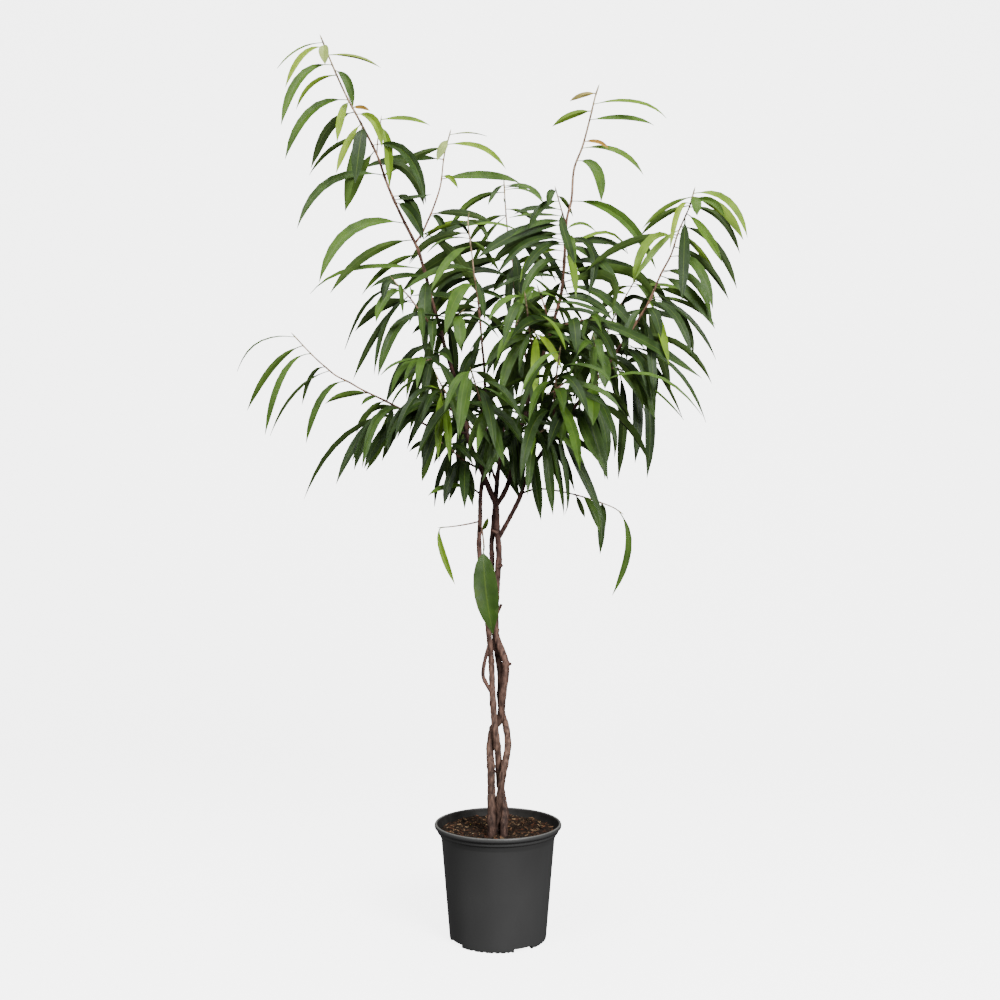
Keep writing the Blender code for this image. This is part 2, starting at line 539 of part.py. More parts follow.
        "route": [(101, 1198, 21), (100, 1228, -2), (92, 1262, -26), (80, 1296, -48)],
        "leaves": [(0.20, 40, 1290, -40, 55, 16)],
        "fill": 5, "size": 165,
    },
    "spray_front_left": {
        "stem": "stem_c", "cut": 0.3, "girth": (2.6, 1.4),
        "route": [(-25, 1020, 20), (-32, 1050, -50), (-42, 1090, -110), (-54, 1130, -170)],
        "leaves": [], "fill": 9, "size": 185,
    },
    "spray_front_high": {
        "stem": "stem_a", "cut": 0.25, "girth": (2.6, 1.4),
        "route": [(80, 1134, 16), (70, 1170, -40), (62, 1220, -100), (54, 1280, -150)],
        "leaves": [], "fill": 8, "size": 175,
    },
    "spray_front_right": {
        "stem": "stem_a", "cut": 0.25, "girth": (2.8, 1.4),
        "route": [(116, 1004, -22), (112, 1050, -80), (116, 1110, -140), (124, 1170, -190)],
        "leaves": [], "fill": 9, "size": 185,
    },
}


def material(name, colour, roughness):
    """A plain surface colour for a piece."""
    finish = bpy.data.materials.new(name)
    finish.use_nodes = True
    shader = finish.node_tree.nodes["Principled BSDF"]
    shader.inputs["Base Color"].default_value = (*colour, 1.0)
    shader.inputs["Roughness"].default_value = roughness
    shader.inputs["Metallic"].default_value = 0.0
    return finish


def turned(name, profile, sides):
    """A turned solid: a profile of radius and height in millimetres, spun about the axis."""
    shape = bmesh.new()
    points = [shape.verts.new((radius * MM, 0, height * MM)) for radius, height in profile]
    line = [shape.edges.new(pair) for pair in zip(points, points[1:])]
    bmesh.ops.spin(shape, geom=points + line, cent=(0, 0, 0), axis=(0, 0, 1), angle=math.tau,
                   steps=sides, use_duplicate=False)
    bmesh.ops.remove_doubles(shape, verts=shape.verts, dist=0.001 * MM)
    return settled(name, shape)


def apply_boolean(piece, tools, operation, solver):
    """Join the tools to the piece, or cut them from it, and remove them."""
    group = bpy.data.collections.new(piece.name + "_tools")
    for tool in tools:
        group.objects.link(tool)
    modifier = piece.modifiers.new("Join", "BOOLEAN")
    modifier.operation = operation
    modifier.operand_type = "COLLECTION"
    modifier.collection = group
    modifier.solver = solver
    bpy.context.view_layer.update()
    joined = piece.evaluated_get(bpy.context.evaluated_depsgraph_get())
    result = bpy.data.meshes.new_from_object(joined)
    piece.modifiers.clear()
    bpy.data.collections.remove(group)
    return result


def closed(mesh):
    """Whether every edge of the mesh has exactly two faces, and it holds some space."""
    shape = bmesh.new()
    shape.from_mesh(mesh)
    good = all(len(edge.link_faces) == 2 for edge in shape.edges) and shape.calc_volume() > 0
    shape.free()
    return good


def biggest_body(mesh):
    """Drop any loose scrap that joining left, and keep the one body."""
    shape = bmesh.new()
    shape.from_mesh(mesh)
    bmesh.ops.triangulate(shape, faces=shape.faces)
    unseen = set(shape.verts)
    bodies = []
    while unseen:
        front = [unseen.pop()]
        body = set(front)
        while front:
            for edge in front.pop().link_edges:
                for vert in edge.verts:
                    if vert in unseen:
                        unseen.remove(vert)
                        body.add(vert)
                        front.append(vert)
        bodies.append(body)
    bodies.sort(key=len, reverse=True)
    for body in bodies[1:]:
        bmesh.ops.delete(shape, geom=list(body), context="VERTS")
    shape.to_mesh(mesh)
    shape.free()
    return len(bodies) - 1


def combine(piece, tools, operation="UNION"):
    """Join or cut by the exact method, or by the manifold one where that leaves a hole."""
    for solver in ("EXACT", "MANIFOLD"):
        result = apply_boolean(piece, tools, operation, solver)
        if closed(result):
            break
    scraps = biggest_body(result)
    piece.data = result
    for tool in tools:
        bpy.data.objects.remove(tool)
    print(piece.name, solver, "triangles", len(result.polygons), "scraps", scraps)
    return piece


def build_pot():
    """The moulded pot, with its drain gaps cut through the foot."""
    pot = turned("pot", POT_OUTER + POT_INNER, POT_SIDES)
    cutters = []
    for angle, width in DRAINS:
        bpy.ops.mesh.primitive_cube_add(size=1.0)
        cutter = bpy.context.object
        wide = 2 * DRAIN_REACH * math.sin(math.radians(width / 2))
        turn = Matrix.Rotation(math.radians(angle - 90), 4, "Z")
        cutter.data.transform(turn @ Matrix.Translation((DRAIN_REACH, 0, 0))
                              @ Matrix.Diagonal((DRAIN_DEPTH, wide, 2 * DRAIN_HEIGHT, 1)))
        cutters.append(cutter)
    combine(pot, cutters, "DIFFERENCE")
    pot.data.materials.append(material("pot_plastic", (0.035, 0.036, 0.038), 0.42))
    return pot


def build_soil(stems):
    """The potting mix, a little uneven on top, with a plain hole for each stem."""
    draw = random.Random(7)
    soil = turned("soil", SOIL_SIDE + SOIL_TOP, SOIL_SIDES)
    inner = SOIL_TOP[-2][0] * MM / 2
    for vert in soil.data.vertices:
        if vert.co.z > (SOIL_TOP[0][1] - 1) * MM and math.hypot(vert.co.x, vert.co.y) > inner:
            vert.co.z += draw.uniform(-SOIL_UNEVEN, SOIL_UNEVEN)
    cutters = []
    for x, _, back in stems:
        bpy.ops.mesh.primitive_cylinder_add(vertices=20, radius=HOLE_RADIUS, depth=HOLE_LENGTH)
        cutter = bpy.context.object
        middle = seen(x, STEM_FOOT, back) + Vector((0, 0, HOLE_LENGTH / 2 - 2 * GAP))
        cutter.data.transform(Matrix.Translation(middle))
        cutters.append(cutter)
    combine(soil, cutters, "DIFFERENCE")
    soil.data.materials.append(material("potting_mix", (0.085, 0.045, 0.025), 0.9))
    return soil


def leaf_width(length, share):
    """Long leaves are wider, and those near a shoot's end are narrower for their length."""
    return min(max(SLENDERNESS * length * (1.1 - 0.3 * share), WIDTHS[0]), WIDTHS[1])


def leaf_knee(root, tip, bend, bow):
    """Where the rib's curve turns down: well out from the root, and to a side.

    The further out it lies, the less it sags, so that some leaves arch and others hang straight.
    """
    out = tip - root
    sag = SAGS[0] + (SAGS[1] - SAGS[0]) * (bend - BENDS[0]) / (BENDS[1] - BENDS[0])
    rise = KNEE_RISE * out.length + KNEE_RISE_FLAT * math.hypot(out.x, out.y)
    return Vector((root.x + bend * out.x + bow, root.y + bend * out.y,
                   root.z + rise + sag * min(out.z, 0.0)))


def leaf_places(twig, leaves, fill, size, draw):
    """The leaves of one twig as root, tip, turn, width, bend and bow."""
    places = []
    for share, x, z, back, turn, *own in leaves:
        root = along(twig, share * LAST_ROOT)
        tip = seen(x, z, root.y / MM + back)
        width = own[0] * MM if own else leaf_width((tip - root).length, share)
        bow = own[1] * MM if len(own) > 1 else 0.0
        places.append((root, tip, turn, width, draw.uniform(*BENDS), bow))
    start = draw.uniform(0, 360)
    for i in range(fill):
        share = (i + FILL_START) / fill
        root = along(twig, min(share, LAST_ROOT))
        heading = math.radians(start + GOLDEN_ANGLE * i + draw.uniform(-HEADING_PLAY, HEADING_PLAY))
        length = size * MM * draw.uniform(*FILL_LENGTHS) * (1.05 - 0.3 * share)
        fall = math.radians(draw.uniform(*FILL_FALLS))
        tip = root + length * Vector((math.cos(heading) * math.cos(fall),
                                      math.sin(heading) * math.cos(fall), -math.sin(fall)))
        places.append((root, tip, draw.uniform(*FILL_TURNS), leaf_width(length, share),
                       draw.uniform(*BENDS), 0.0))
    return places


def box_of(points):
    """Lowest and highest corner of some points."""
    return tuple([pick(p[i] for p in points) for i in range(3)] for pick in (min, max))


class Room:
    """What already stands in the crown, so that a new leaf can be laid clear of it."""

    def __init__(self):
        self.solids = []

    def add(self, owner, points, faces):
        """Remember a solid and the node that it belongs to."""
        self.solids.append((owner, box_of(points), BVHTree.FromPolygons(points, faces)))

    def free(self, points, faces, apart_from=None):
        """Whether these faces cross nothing that is remembered, apart from one node's solids."""
        low, high = box_of(points)
        tree = None
        for owner, (a, b), other in self.solids:
            if owner == apart_from or any(low[i] > b[i] or high[i] < a[i] for i in range(3)):
                continue
            tree = tree or BVHTree.FromPolygons(points, faces)
            if tree.overlap(other):
                return False
        return True


def lay_leaf(room, node, place):
    """The leaf swung to the first of its places that is clear, or nothing."""
    root, tip, turn, width, bend, bow = place
    for may_cross_own in (False, True):
        for swing in SWINGS:
            end = slide(tip, swing)
            knee = leaf_knee(root, end, bend, bow)
            points, faces = blade(root, knee, end, width, turn, room=LEAF_CLEARANCE)
            if not room.free(points, faces, apart_from=node):
                continue
            if may_cross_own or room.free(points[3:], off_root(faces)):
                return root, knee, end, width, turn
    return None


def off_root(faces):
    """The faces of a leaf without its root end, which is sunk in the twig."""
    return [tuple(i - 3 for i in face) for face in faces if min(face) >= 3]


def main():
    for old in list(bpy.data.objects):
        bpy.data.objects.remove(old)
    bark = material("bark", (0.16, 0.11, 0.085), 0.8)
    leaf = material("leaf_green", (0.06, 0.15, 0.035), 0.4)

    stem_routes = {"stem_a": leaned(STEM_A), "stem_b": leaned(STEM_B), "stem_c": leaned(STEM_C)}
    wood = {}
    room = Room()
    for node, route in stem_routes.items():
        curve = smooth([seen(*p) for p in route], STEM_STEP)
        wood[node] = [tube(node, curve, [r * MM for r in STEM_RADII[node]], STEM_SIDES)]
    loop = smooth([seen(*p) for p in leaned(LOOP)], STEM_STEP)
    wood["stem_c"].append(tube("loop", loop, [r * MM for r in LOOP_RADII], TWIG_SIDES))
    for (x, z), end in KNOTS:
        nub = [seen(*p) for p in leaned([(x, z, end[2] / 2), end])]
        wood["stem_a"].append(tube("knot", nub, [r * MM for r in KNOT_RADII], TWIG_SIDES))

    sprays = {}
    twigs = {}
    for node, spray in SPRAYS.items():
        curve = smooth([seen(*p) for p in spray["route"]], TWIG_STEP)
        thick, thin = (g * MM for g in spray["girth"])
        middle = thick + (thin - thick) * spray["cut"]
        lower, upper, heading = split(curve, spray["cut"])
        wood[spray["stem"]].append(tube("branch", lower, (thick, middle), TWIG_SIDES,
                                        last_heading=heading))
        twigs[node] = [(upper, spray)]
        sprays[node] = [tube(node, upper, (middle, thin), TWIG_SIDES, first_heading=heading)]
        for twig in spray.get("twigs", ()):
            side = smooth([seen(*p) for p in twig["route"]], TWIG_STEP)
            twigs[node].append((side, twig))
            sprays[node].append(tube("twig", side, [g * MM for g in twig["girth"]], TWIG_SIDES))
    for node, pieces in {**wood, **sprays}.items():
        for piece in pieces:
            room.add(node, [v.co.copy() for v in piece.data.vertices],
                     [tuple(p.vertices) for p in piece.data.polygons])

    dropped = 0
    count = 0
    for number, (node, parts) in enumerate(twigs.items()):
        draw = random.Random(100 + number)
        for twig, spray in parts:
            for place in leaf_places(twig, spray["leaves"], spray.get("fill", 0),
                                     spray.get("size", 0), draw):
                found = lay_leaf(room, node, place)
                if not found:
                    dropped += 1
                    continue
                points, faces = blade(*found[:3], found[3], found[4])
                room.add(node, points, faces)
                sprays[node].append(mesh_object("leaf", points, faces))
                count += 1
    print("leaves", count, "dropped", dropped)

    build_pot()
    build_soil([route[0] for route in stem_routes.values()])
    for node, pieces in {**wood, **sprays}.items():
        piece = combine(pieces[0], pieces[1:])
        piece.name = node
        piece.data.materials.append(bark if node in wood else leaf)


main()
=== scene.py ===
# %% [markdown]
# # A potted banana leaf fig
#
# Three young fig stems are wound round each other in a ten inch nursery pot. Above the braid they
# open into leaning branches, hung all over with long drooping leaves. The CAD model gives every
# stem and every leaf its place. This lesson dresses it: a turned pot with a rolled lip, loose bark
# in the potting mix, round stems with bark, and thin folded leaves with a pale rib.

# %% Load the frame
import math
import random

import bpy
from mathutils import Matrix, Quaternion, Vector
from mathutils.bvhtree import BVHTree
from mathutils.kdtree import KDTree


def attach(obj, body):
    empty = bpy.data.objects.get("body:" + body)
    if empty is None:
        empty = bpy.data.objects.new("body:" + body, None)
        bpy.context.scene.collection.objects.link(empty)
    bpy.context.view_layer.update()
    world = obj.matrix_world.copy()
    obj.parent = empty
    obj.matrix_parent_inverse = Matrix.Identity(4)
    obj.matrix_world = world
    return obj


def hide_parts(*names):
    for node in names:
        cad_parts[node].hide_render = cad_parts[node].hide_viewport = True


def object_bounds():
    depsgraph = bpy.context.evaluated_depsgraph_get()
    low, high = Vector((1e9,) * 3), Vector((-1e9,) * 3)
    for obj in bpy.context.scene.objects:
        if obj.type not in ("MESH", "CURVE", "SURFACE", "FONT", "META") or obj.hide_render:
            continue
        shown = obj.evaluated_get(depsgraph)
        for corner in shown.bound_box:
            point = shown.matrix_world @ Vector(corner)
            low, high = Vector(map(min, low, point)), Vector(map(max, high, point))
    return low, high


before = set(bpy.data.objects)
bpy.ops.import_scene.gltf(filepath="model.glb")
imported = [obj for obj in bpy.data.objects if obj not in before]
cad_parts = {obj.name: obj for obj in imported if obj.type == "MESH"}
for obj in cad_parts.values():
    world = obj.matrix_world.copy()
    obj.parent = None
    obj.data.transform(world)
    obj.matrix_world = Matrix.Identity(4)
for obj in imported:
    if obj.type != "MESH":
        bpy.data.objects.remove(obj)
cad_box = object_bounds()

MM = 0.001
bpy.ops.object.select_all(action="DESELECT")

# %% [markdown]
# ## The camera
#
# The plant is looked at level with its middle, from a little over two metres away. The stems and
# leaves are laid out as they are seen from the spot `EYE`. The camera stands there too, but a few
# centimetres lower, because the pot's rim is seen a little flatter. The small shift keeps the
# plant framed.

# %% Camera
EYE = Vector((0.004, -2.35, 0.874))
LOWER = 43 * MM
bpy.ops.object.camera_add(location=EYE - Vector((0, 0, LOWER)), rotation=(math.pi / 2, 0, 0))
camera = bpy.context.object
camera.name = "camera"
camera.data.lens = 42.3
camera.data.sensor_width = 36.0
camera.data.shift_y = 0.0207
camera.data.clip_start = 0.05
bpy.context.scene.camera = camera
print("camera", tuple(round(v, 3) for v in camera.location))

# %% [markdown]
# ## The studio
#
# A pale floor runs up into a pale wall in one soft curve, so that no corner shows. It starts as a
# plane. Its far edge is extruded upwards, and a bevel rounds the fold. Lamps stand in front of the
# plant and above it.

# %% Ways to choose and edit
def choose(*pieces):
    """Select these pieces and no others. The first one is the active one."""
    bpy.ops.object.select_all(action="DESELECT")
    for piece in pieces:
        piece.select_set(True)
    bpy.context.view_layer.objects.active = pieces[0]


def edit(piece):
    """Open a piece in edit mode with nothing selected."""
    choose(piece)
    bpy.ops.object.mode_set(mode="EDIT")
    bpy.ops.mesh.select_all(action="DESELECT")


def pick(piece, wanted, kind="vertices"):
    """In edit mode, select the vertices, edges or faces for which wanted(middle point) is true."""
    bpy.ops.mesh.select_all(action="DESELECT")
    bpy.ops.mesh.select_mode(type={"vertices": "VERT", "edges": "EDGE", "polygons": "FACE"}[kind])
    bpy.ops.object.mode_set(mode="OBJECT")
    points = piece.data.vertices
    for part in getattr(piece.data, kind):
        corners = [part.index] if kind == "vertices" else part.vertices
        middle = sum((points[i].co for i in corners), Vector()) / len(corners)
        part.select = bool(wanted(middle))
    bpy.ops.object.mode_set(mode="EDIT")


def leave_edit():
    """Back to object mode."""
    bpy.ops.object.mode_set(mode="OBJECT")


def apply_all(piece):
    """Apply every modifier of a piece, in order."""
    choose(piece)
    for modifier in list(piece.modifiers):
        bpy.ops.object.modifier_apply(modifier=modifier.name)


def settle(piece):
    """Put the piece's place into its mesh, so that its object sits at the origin."""
    choose(piece)
    bpy.ops.object.transform_apply(location=True, rotation=True, scale=True)


print("ready to model")

# %% Floor and wall
FLOOR_SIZE = 7.0
WALL_HEIGHT = 5.6
FOLD_RADIUS = 1.6
PAPER_GLOW = 4.5
bpy.ops.mesh.primitive_plane_add(size=FLOOR_SIZE, location=(0, 0, 0))
backdrop = bpy.context.object
backdrop.name = "backdrop"
paper = bpy.data.materials.new("pale_paper")
paper.use_nodes = True
coat = paper.node_tree.nodes["Principled BSDF"]
coat.inputs["Base Color"].default_value = (0.93, 0.93, 0.93, 1.0)
coat.inputs["Roughness"].default_value = 0.9
coat.inputs["Specular IOR Level"].default_value = 0.1
coat.inputs["Emission Color"].default_value = (1.0, 1.0, 1.0, 1.0)
coat.inputs["Emission Strength"].default_value = PAPER_GLOW
backdrop.data.materials.append(paper)
edit(backdrop)
pick(backdrop, lambda p: p.y > FLOOR_SIZE / 2 - 0.1, "edges")
bpy.ops.mesh.extrude_region_move(TRANSFORM_OT_translate={"value": (0, 0, WALL_HEIGHT)})
pick(backdrop, lambda p: p.y > FLOOR_SIZE / 2 - 0.1 and p.z < 0.1, "edges")
bpy.ops.mesh.bevel(offset=FOLD_RADIUS, segments=16, affect="EDGES")
leave_edit()
bpy.ops.object.shade_smooth()
settle(backdrop)
backdrop.visible_diffuse = False
backdrop.visible_glossy = False
print("backdrop faces", len(backdrop.data.polygons))

# %% Soft light
def soft_light(name, place, aim, size, power):
    """A large square lamp that looks at a point."""
    way = Vector(aim) - Vector(place)
    bpy.ops.object.light_add(type="AREA", location=place,
                             rotation=way.to_track_quat("-Z", "Y").to_euler())
    lamp = bpy.context.object
    lamp.name = name
    lamp.data.size = size
    lamp.data.energy = power


soft_light("key_light", (1.6, -2.8, 2.7), (0, 0, 0.9), 1.3, 212)
soft_light("fill_light", (-2.0, -2.4, 3.0), (-0.2, 0, 1.4), 1.8, 82)
soft_light("top_light", (0.0, -0.2, 3.9), (0, 0, 0.8), 2.0, 60)
world = bpy.data.worlds.new("studio")
bpy.context.scene.world = world
world.use_nodes = True
world.node_tree.nodes["Background"].inputs["Color"].default_value = (1.0, 1.0, 1.0, 1.0)
world.node_tree.nodes["Background"].inputs["Strength"].default_value = 0.13

# %% [markdown]
# ## Finishes
#
# Each finish is a small tree of nodes. Noise on Object coordinates breaks up the plastic, the bark
# and the soil, so that none of them is one flat colour. Leaves and stems carry a number from the
# modelling below, `age`: 0 for old wood and old leaves, 1 for this month's growth. A leaf has two
# finishes, one for its upper face and a paler one for its lower.

# %% Helpers for materials
def finish(name, roughness, specular=0.5):
    """A material of that name, and its shader."""
    made = bpy.data.materials.new(name)
    made.use_nodes = True
    shader = made.node_tree.nodes["Principled BSDF"]
    shader.inputs["Roughness"].default_value = roughness
    shader.inputs["Specular IOR Level"].default_value = specular
    return made, shader


def add(made, kind, links=(), **settings):
    """A node of that kind. Links are (its input, a source socket)."""
    node = made.node_tree.nodes.new(kind)
    for key, value in settings.items():
        setattr(node, key, value)
    for entry, source in links:
        made.node_tree.links.new(source, node.inputs[entry])
    return node


def ramp(made, source, stops):
    """A colour ramp fed by a socket. Stops are (place, (red, green, blue))."""
    node = add(made, "ShaderNodeValToRGB", [("Fac", source)])
    bar = node.color_ramp
    while len(bar.elements) < len(stops):
        bar.elements.new(1.0)
    for element, (place, colour) in zip(bar.elements, stops):
        element.position = place
        element.color = (*colour, 1.0)
    return node.outputs["Color"]


def noise(made, scale, stretch=(1, 1, 1), detail=3.0):
    """Noise on Object coordinates, as many waves to the metre as scale says."""
    where = add(made, "ShaderNodeTexCoord").outputs["Object"]
    place = add(made, "ShaderNodeMapping", [("Vector", where)])
    place.inputs["Scale"].default_value = stretch
    cloud = add(made, "ShaderNodeTexNoise", [("Vector", place.outputs["Vector"])])
    cloud.inputs["Scale"].default_value = scale
    cloud.inputs["Detail"].default_value = detail
    return cloud.outputs["Fac"]


def bump(made, shader, height, depth, strength=1.0):
    """Raise the surface by a height field, depth in metres."""
    node = add(made, "ShaderNodeBump", [("Height", height)])
    node.inputs["Distance"].default_value = depth
    node.inputs["Strength"].default_value = strength
    made.node_tree.links.new(node.outputs["Normal"], shader.inputs["Normal"])


def mix(made, share, first, second, blend="MIX"):
    """One colour over another. Share is a socket or a number."""
    node = add(made, "ShaderNodeMix", data_type="RGBA", blend_type=blend)
    if isinstance(share, float):
        node.inputs[0].default_value = share
    else:
        made.node_tree.links.new(share, node.inputs[0])
    for socket, value in ((node.inputs[6], first), (node.inputs[7], second)):
        if isinstance(value, tuple):
            socket.default_value = (*value, 1.0)
        else:
            made.node_tree.links.new(value, socket)
    return node.outputs[2]


def times(made, source, factor):
    """A socket multiplied by a number."""
    node = add(made, "ShaderNodeMath", [(0, source)], operation="MULTIPLY")
    node.inputs[1].default_value = factor
    return node.outputs[0]


def spread(made, source, before, after):
    """A socket whose values run over one range, laid out over another."""
    node = add(made, "ShaderNodeMapRange", [("Value", source)])
    for entry, value in zip(("From Min", "From Max", "To Min", "To Max"), (*before, *after)):
        node.inputs[entry].default_value = value
    return node.outputs["Result"]


def attribute(made, name):
    """A number that the mesh carries."""
    return add(made, "ShaderNodeAttribute", attribute_name=name).outputs["Fac"]


def above_floor(made):
    """The height above the floor."""
    where = add(made, "ShaderNodeTexCoord").outputs["Object"]
    return add(made, "ShaderNodeSeparateXYZ", [("Vector", where)]).outputs["Z"]


def paint(made, shader, source, entry="Base Color"):
    """Wire a socket to the shader, as its colour unless told otherwise."""
    made.node_tree.links.new(source, shader.inputs[entry])


print("ready to mix finishes")

# %% Plastic of the pot
# From these heights up, the crest of the pot's lip is painted pale grey: a painted highlight of the lamps
# above.
LIP_HIGHLIGHT_FROM, LIP_HIGHLIGHT_TO = 226.2 * MM, 227.8 * MM


def pot_plastic():
    """Dark recycled plastic: satin and faintly cloudy, with a painted highlight along the crest of its
    lip.
    """
    made, shader = finish("pot_charcoal", 0.45, 0.4)
    colour = ramp(made, noise(made, 9, (1, 1, 0.5)),
                  [(0.3, (0.048, 0.048, 0.048)), (0.7, (0.062, 0.062, 0.062))])
    # The crest of the lip blends to pale grey: a painted highlight of the lamps above.
    lip = spread(made, above_floor(made), (LIP_HIGHLIGHT_FROM, LIP_HIGHLIGHT_TO), (0.0, 1.0))
    paint(made, shader, mix(made, lip, colour, (0.165, 0.165, 0.155)))
    marks = noise(made, 260, (1, 1, 0.35), 4.0)
    paint(made, shader, spread(made, marks, (0.0, 1.0), (0.36, 0.52)), "Roughness")
    bump(made, shader, marks, 0.12 * MM, 0.5)
    return made


def pot_inside_shaded():
    """The same plastic inside the pot, dull with dried peat, and painted much darker as the shade inside
    the wall.
    """
    made, shader = finish("pot_inside_shaded", 0.7, 0.2)
    # Far darker than the outside plastic: painted shade inside the pot, with a little dried peat dust.
    paint(made, shader, ramp(made, noise(made, 60),
                             [(0.35, (0.014, 0.013, 0.012)), (0.7, (0.026, 0.024, 0.022))]))
    return made


POT_FINISH = pot_plastic()
POT_INSIDE_SHADED = pot_inside_shaded()
print("finishes", POT_FINISH.name, POT_INSIDE_SHADED.name)

# %% Potting mix and bark chips
def potting_mix():
    """Damp peat, nearly black in its hollows."""
    made, shader = finish("peat", 0.92, 0.2)
    grain = noise(made, 150, detail=6.0)
    paint(made, shader, ramp(made, grain, [(0.35, (0.006, 0.004, 0.003)), (0.55, (0.024, 0.014, 0.008)),
                                           (0.75, (0.075, 0.042, 0.022))]))
    bump(made, shader, grain, 1.5 * MM)
    return made


def bark_chips():
    """Broken bark and wood. Each chip's own number picks brown, rust, tan or a rare yellow."""
    made, shader = finish("bark_chips", 0.85, 0.25)
    colour = ramp(made, attribute(made, "chip"),
                  [(0.0, (0.012, 0.007, 0.005)), (0.35, (0.026, 0.014, 0.009)),
                   (0.55, (0.085, 0.030, 0.016)), (0.72, (0.150, 0.062, 0.030)),
                   (0.86, (0.230, 0.135, 0.070)), (0.988, (0.360, 0.260, 0.150)),
                   (0.991, (0.650, 0.520, 0.060))])
    grain = noise(made, 420, (1, 1, 1), 4.0)
    wear = ramp(made, grain, [(0.3, (0.4, 0.4, 0.4)), (0.7, (1.2, 1.2, 1.2))])
    paint(made, shader, mix(made, 0.45, colour, wear, "MULTIPLY"))
    bump(made, shader, grain, 0.4 * MM)
    return made


SOIL_FINISH = potting_mix()
CHIP_FINISH = bark_chips()
print("finishes", SOIL_FINISH.name, CHIP_FINISH.name)

# %% Bark
def stem_bark():
    """Grey-brown and streaked on old wood, tan to green on new shoots, and redder and darker on branches:
    partly their own red bark, partly painted shade under the crown.

    Near the potting mix it is darker.
    """
    made, shader = finish("stem_bark", 0.75, 0.3)
    # From about age 0.2 to 0.64, on the upper stems and the branches, the bark is much darker: partly
    # their redder bark, partly painted shade under the crown.
    tone = ramp(made, attribute(made, "age"),
                [(0.0, (0.175, 0.108, 0.078)), (0.20, (0.120, 0.066, 0.050)),
                 (0.32, (0.072, 0.034, 0.027)), (0.48, (0.062, 0.027, 0.021)),
                 (0.64, (0.115, 0.056, 0.036)), (0.75, (0.210, 0.120, 0.078)),
                 (0.90, (0.320, 0.235, 0.150)), (1.0, (0.270, 0.260, 0.110))])
    streaks = noise(made, 170, (1, 1, 0.34), 6.0)
    shade = ramp(made, streaks, [(0.36, (0.24, 0.20, 0.21)), (0.50, (0.90, 0.88, 0.88)),
                                 (0.64, (1.75, 1.72, 1.68))])
    streaked = mix(made, 0.85, tone, shade, "MULTIPLY")
    # Below about 0.38 m above the floor the bark is made darker, most of all near the potting mix.
    low_darkening = ramp(made, above_floor(made), [(0.21, (0.35, 0.32, 0.35)), (0.38, (1.0, 1.0, 1.0))])
    low_darkened = mix(made, 1.0, streaked, low_darkening, "MULTIPLY")
    dots = ramp(made, noise(made, 520, (1, 1, 1), 2.0), [(0.66, (0, 0, 0)), (0.72, (1, 1, 1))])
    paint(made, shader, mix(made, times(made, dots, 0.5), low_darkened, (0.30, 0.22, 0.17)))
    bump(made, shader, streaks, 1.5 * MM)
    return made


BARK_FINISH = stem_bark()
print("finish", BARK_FINISH.name)

# %% Leaf faces
RIB_SHARE = 0.42
VEIN_SLANT = 0.5


def leaf_face(name, stops, roughness, rib_colour, shine):
    """A leaf's upper or lower face: colour by age, mottled at random, a pale rib, fine side veins and
    gloss.

    The leaf's own UV map runs from -1 to 1 across it and from 0 to 1 along it.
    """
    made, shader = finish(name, roughness, shine)
    body = ramp(made, attribute(made, "age"), stops)
    cloud = ramp(made, noise(made, 40), [(0.32, (0.62, 0.66, 0.72)), (0.68, (1.30, 1.28, 1.15))])
    mottled = mix(made, 0.7, body, cloud, "MULTIPLY")
    on_leaf = add(made, "ShaderNodeUVMap", uv_map="leaf").outputs["UV"]
    place = add(made, "ShaderNodeSeparateXYZ", [("Vector", on_leaf)])
    away = add(made, "ShaderNodeMath", [(0, place.outputs["X"])], operation="ABSOLUTE").outputs[0]
    rib = ramp(made, away, [(0.02, (1, 1, 1)), (0.09, (0, 0, 0))])
    paint(made, shader, mix(made, times(made, rib, RIB_SHARE), mottled, rib_colour))
    slant = add(made, "ShaderNodeMath", [(0, place.outputs["Y"]), (1, times(made, away, VEIN_SLANT))],
                operation="SUBTRACT").outputs[0]
    run = add(made, "ShaderNodeCombineXYZ", [("X", away), ("Y", slant)]).outputs["Vector"]
    veins = add(made, "ShaderNodeTexWave", [("Vector", run)], wave_type="BANDS", bands_direction="Y")
    veins.inputs["Scale"].default_value = 11.0
    veins.inputs["Distortion"].default_value = 0.6
    bump(made, shader, veins.outputs["Fac"], 0.16 * MM, 0.5)
    return made


UPPER_FINISH = leaf_face("leaf_upper", [(0.0, (0.013, 0.029, 0.006)), (0.25, (0.028, 0.062, 0.009)),
                                        (0.50, (0.070, 0.145, 0.015)), (0.70, (0.165, 0.285, 0.014)),
                                        (0.80, (0.225, 0.330, 0.020)), (0.86, (0.290, 0.370, 0.100)),
                                        (1.0, (0.330, 0.180, 0.030))],
                         0.38, (0.110, 0.170, 0.015), 0.22)
LOWER_FINISH = leaf_face("leaf_lower", [(0.0, (0.026, 0.048, 0.012)), (0.25, (0.044, 0.080, 0.014)),
                                        (0.50, (0.085, 0.160, 0.021)), (0.70, (0.175, 0.280, 0.022)),
                                        (0.80, (0.230, 0.325, 0.028)), (0.86, (0.300, 0.370, 0.120)),
                                        (1.0, (0.340, 0.200, 0.050))],
                         0.55, (0.140, 0.200, 0.040), 0.2)
print("finishes", UPPER_FINISH.name, LOWER_FINISH.name)

# %% [markdown]
# ## The pot
#
# A grower pot is moulded in one go: a thin tapered wall, a rim with a rolled lip, and a foot with
# gaps that let water out. It could be drawn as a profile and spun. Here a disc is pulled up ring by
# ring instead, each ring extruded and then scaled, because one list of radius and height then
# holds the whole pot, outside and inside.

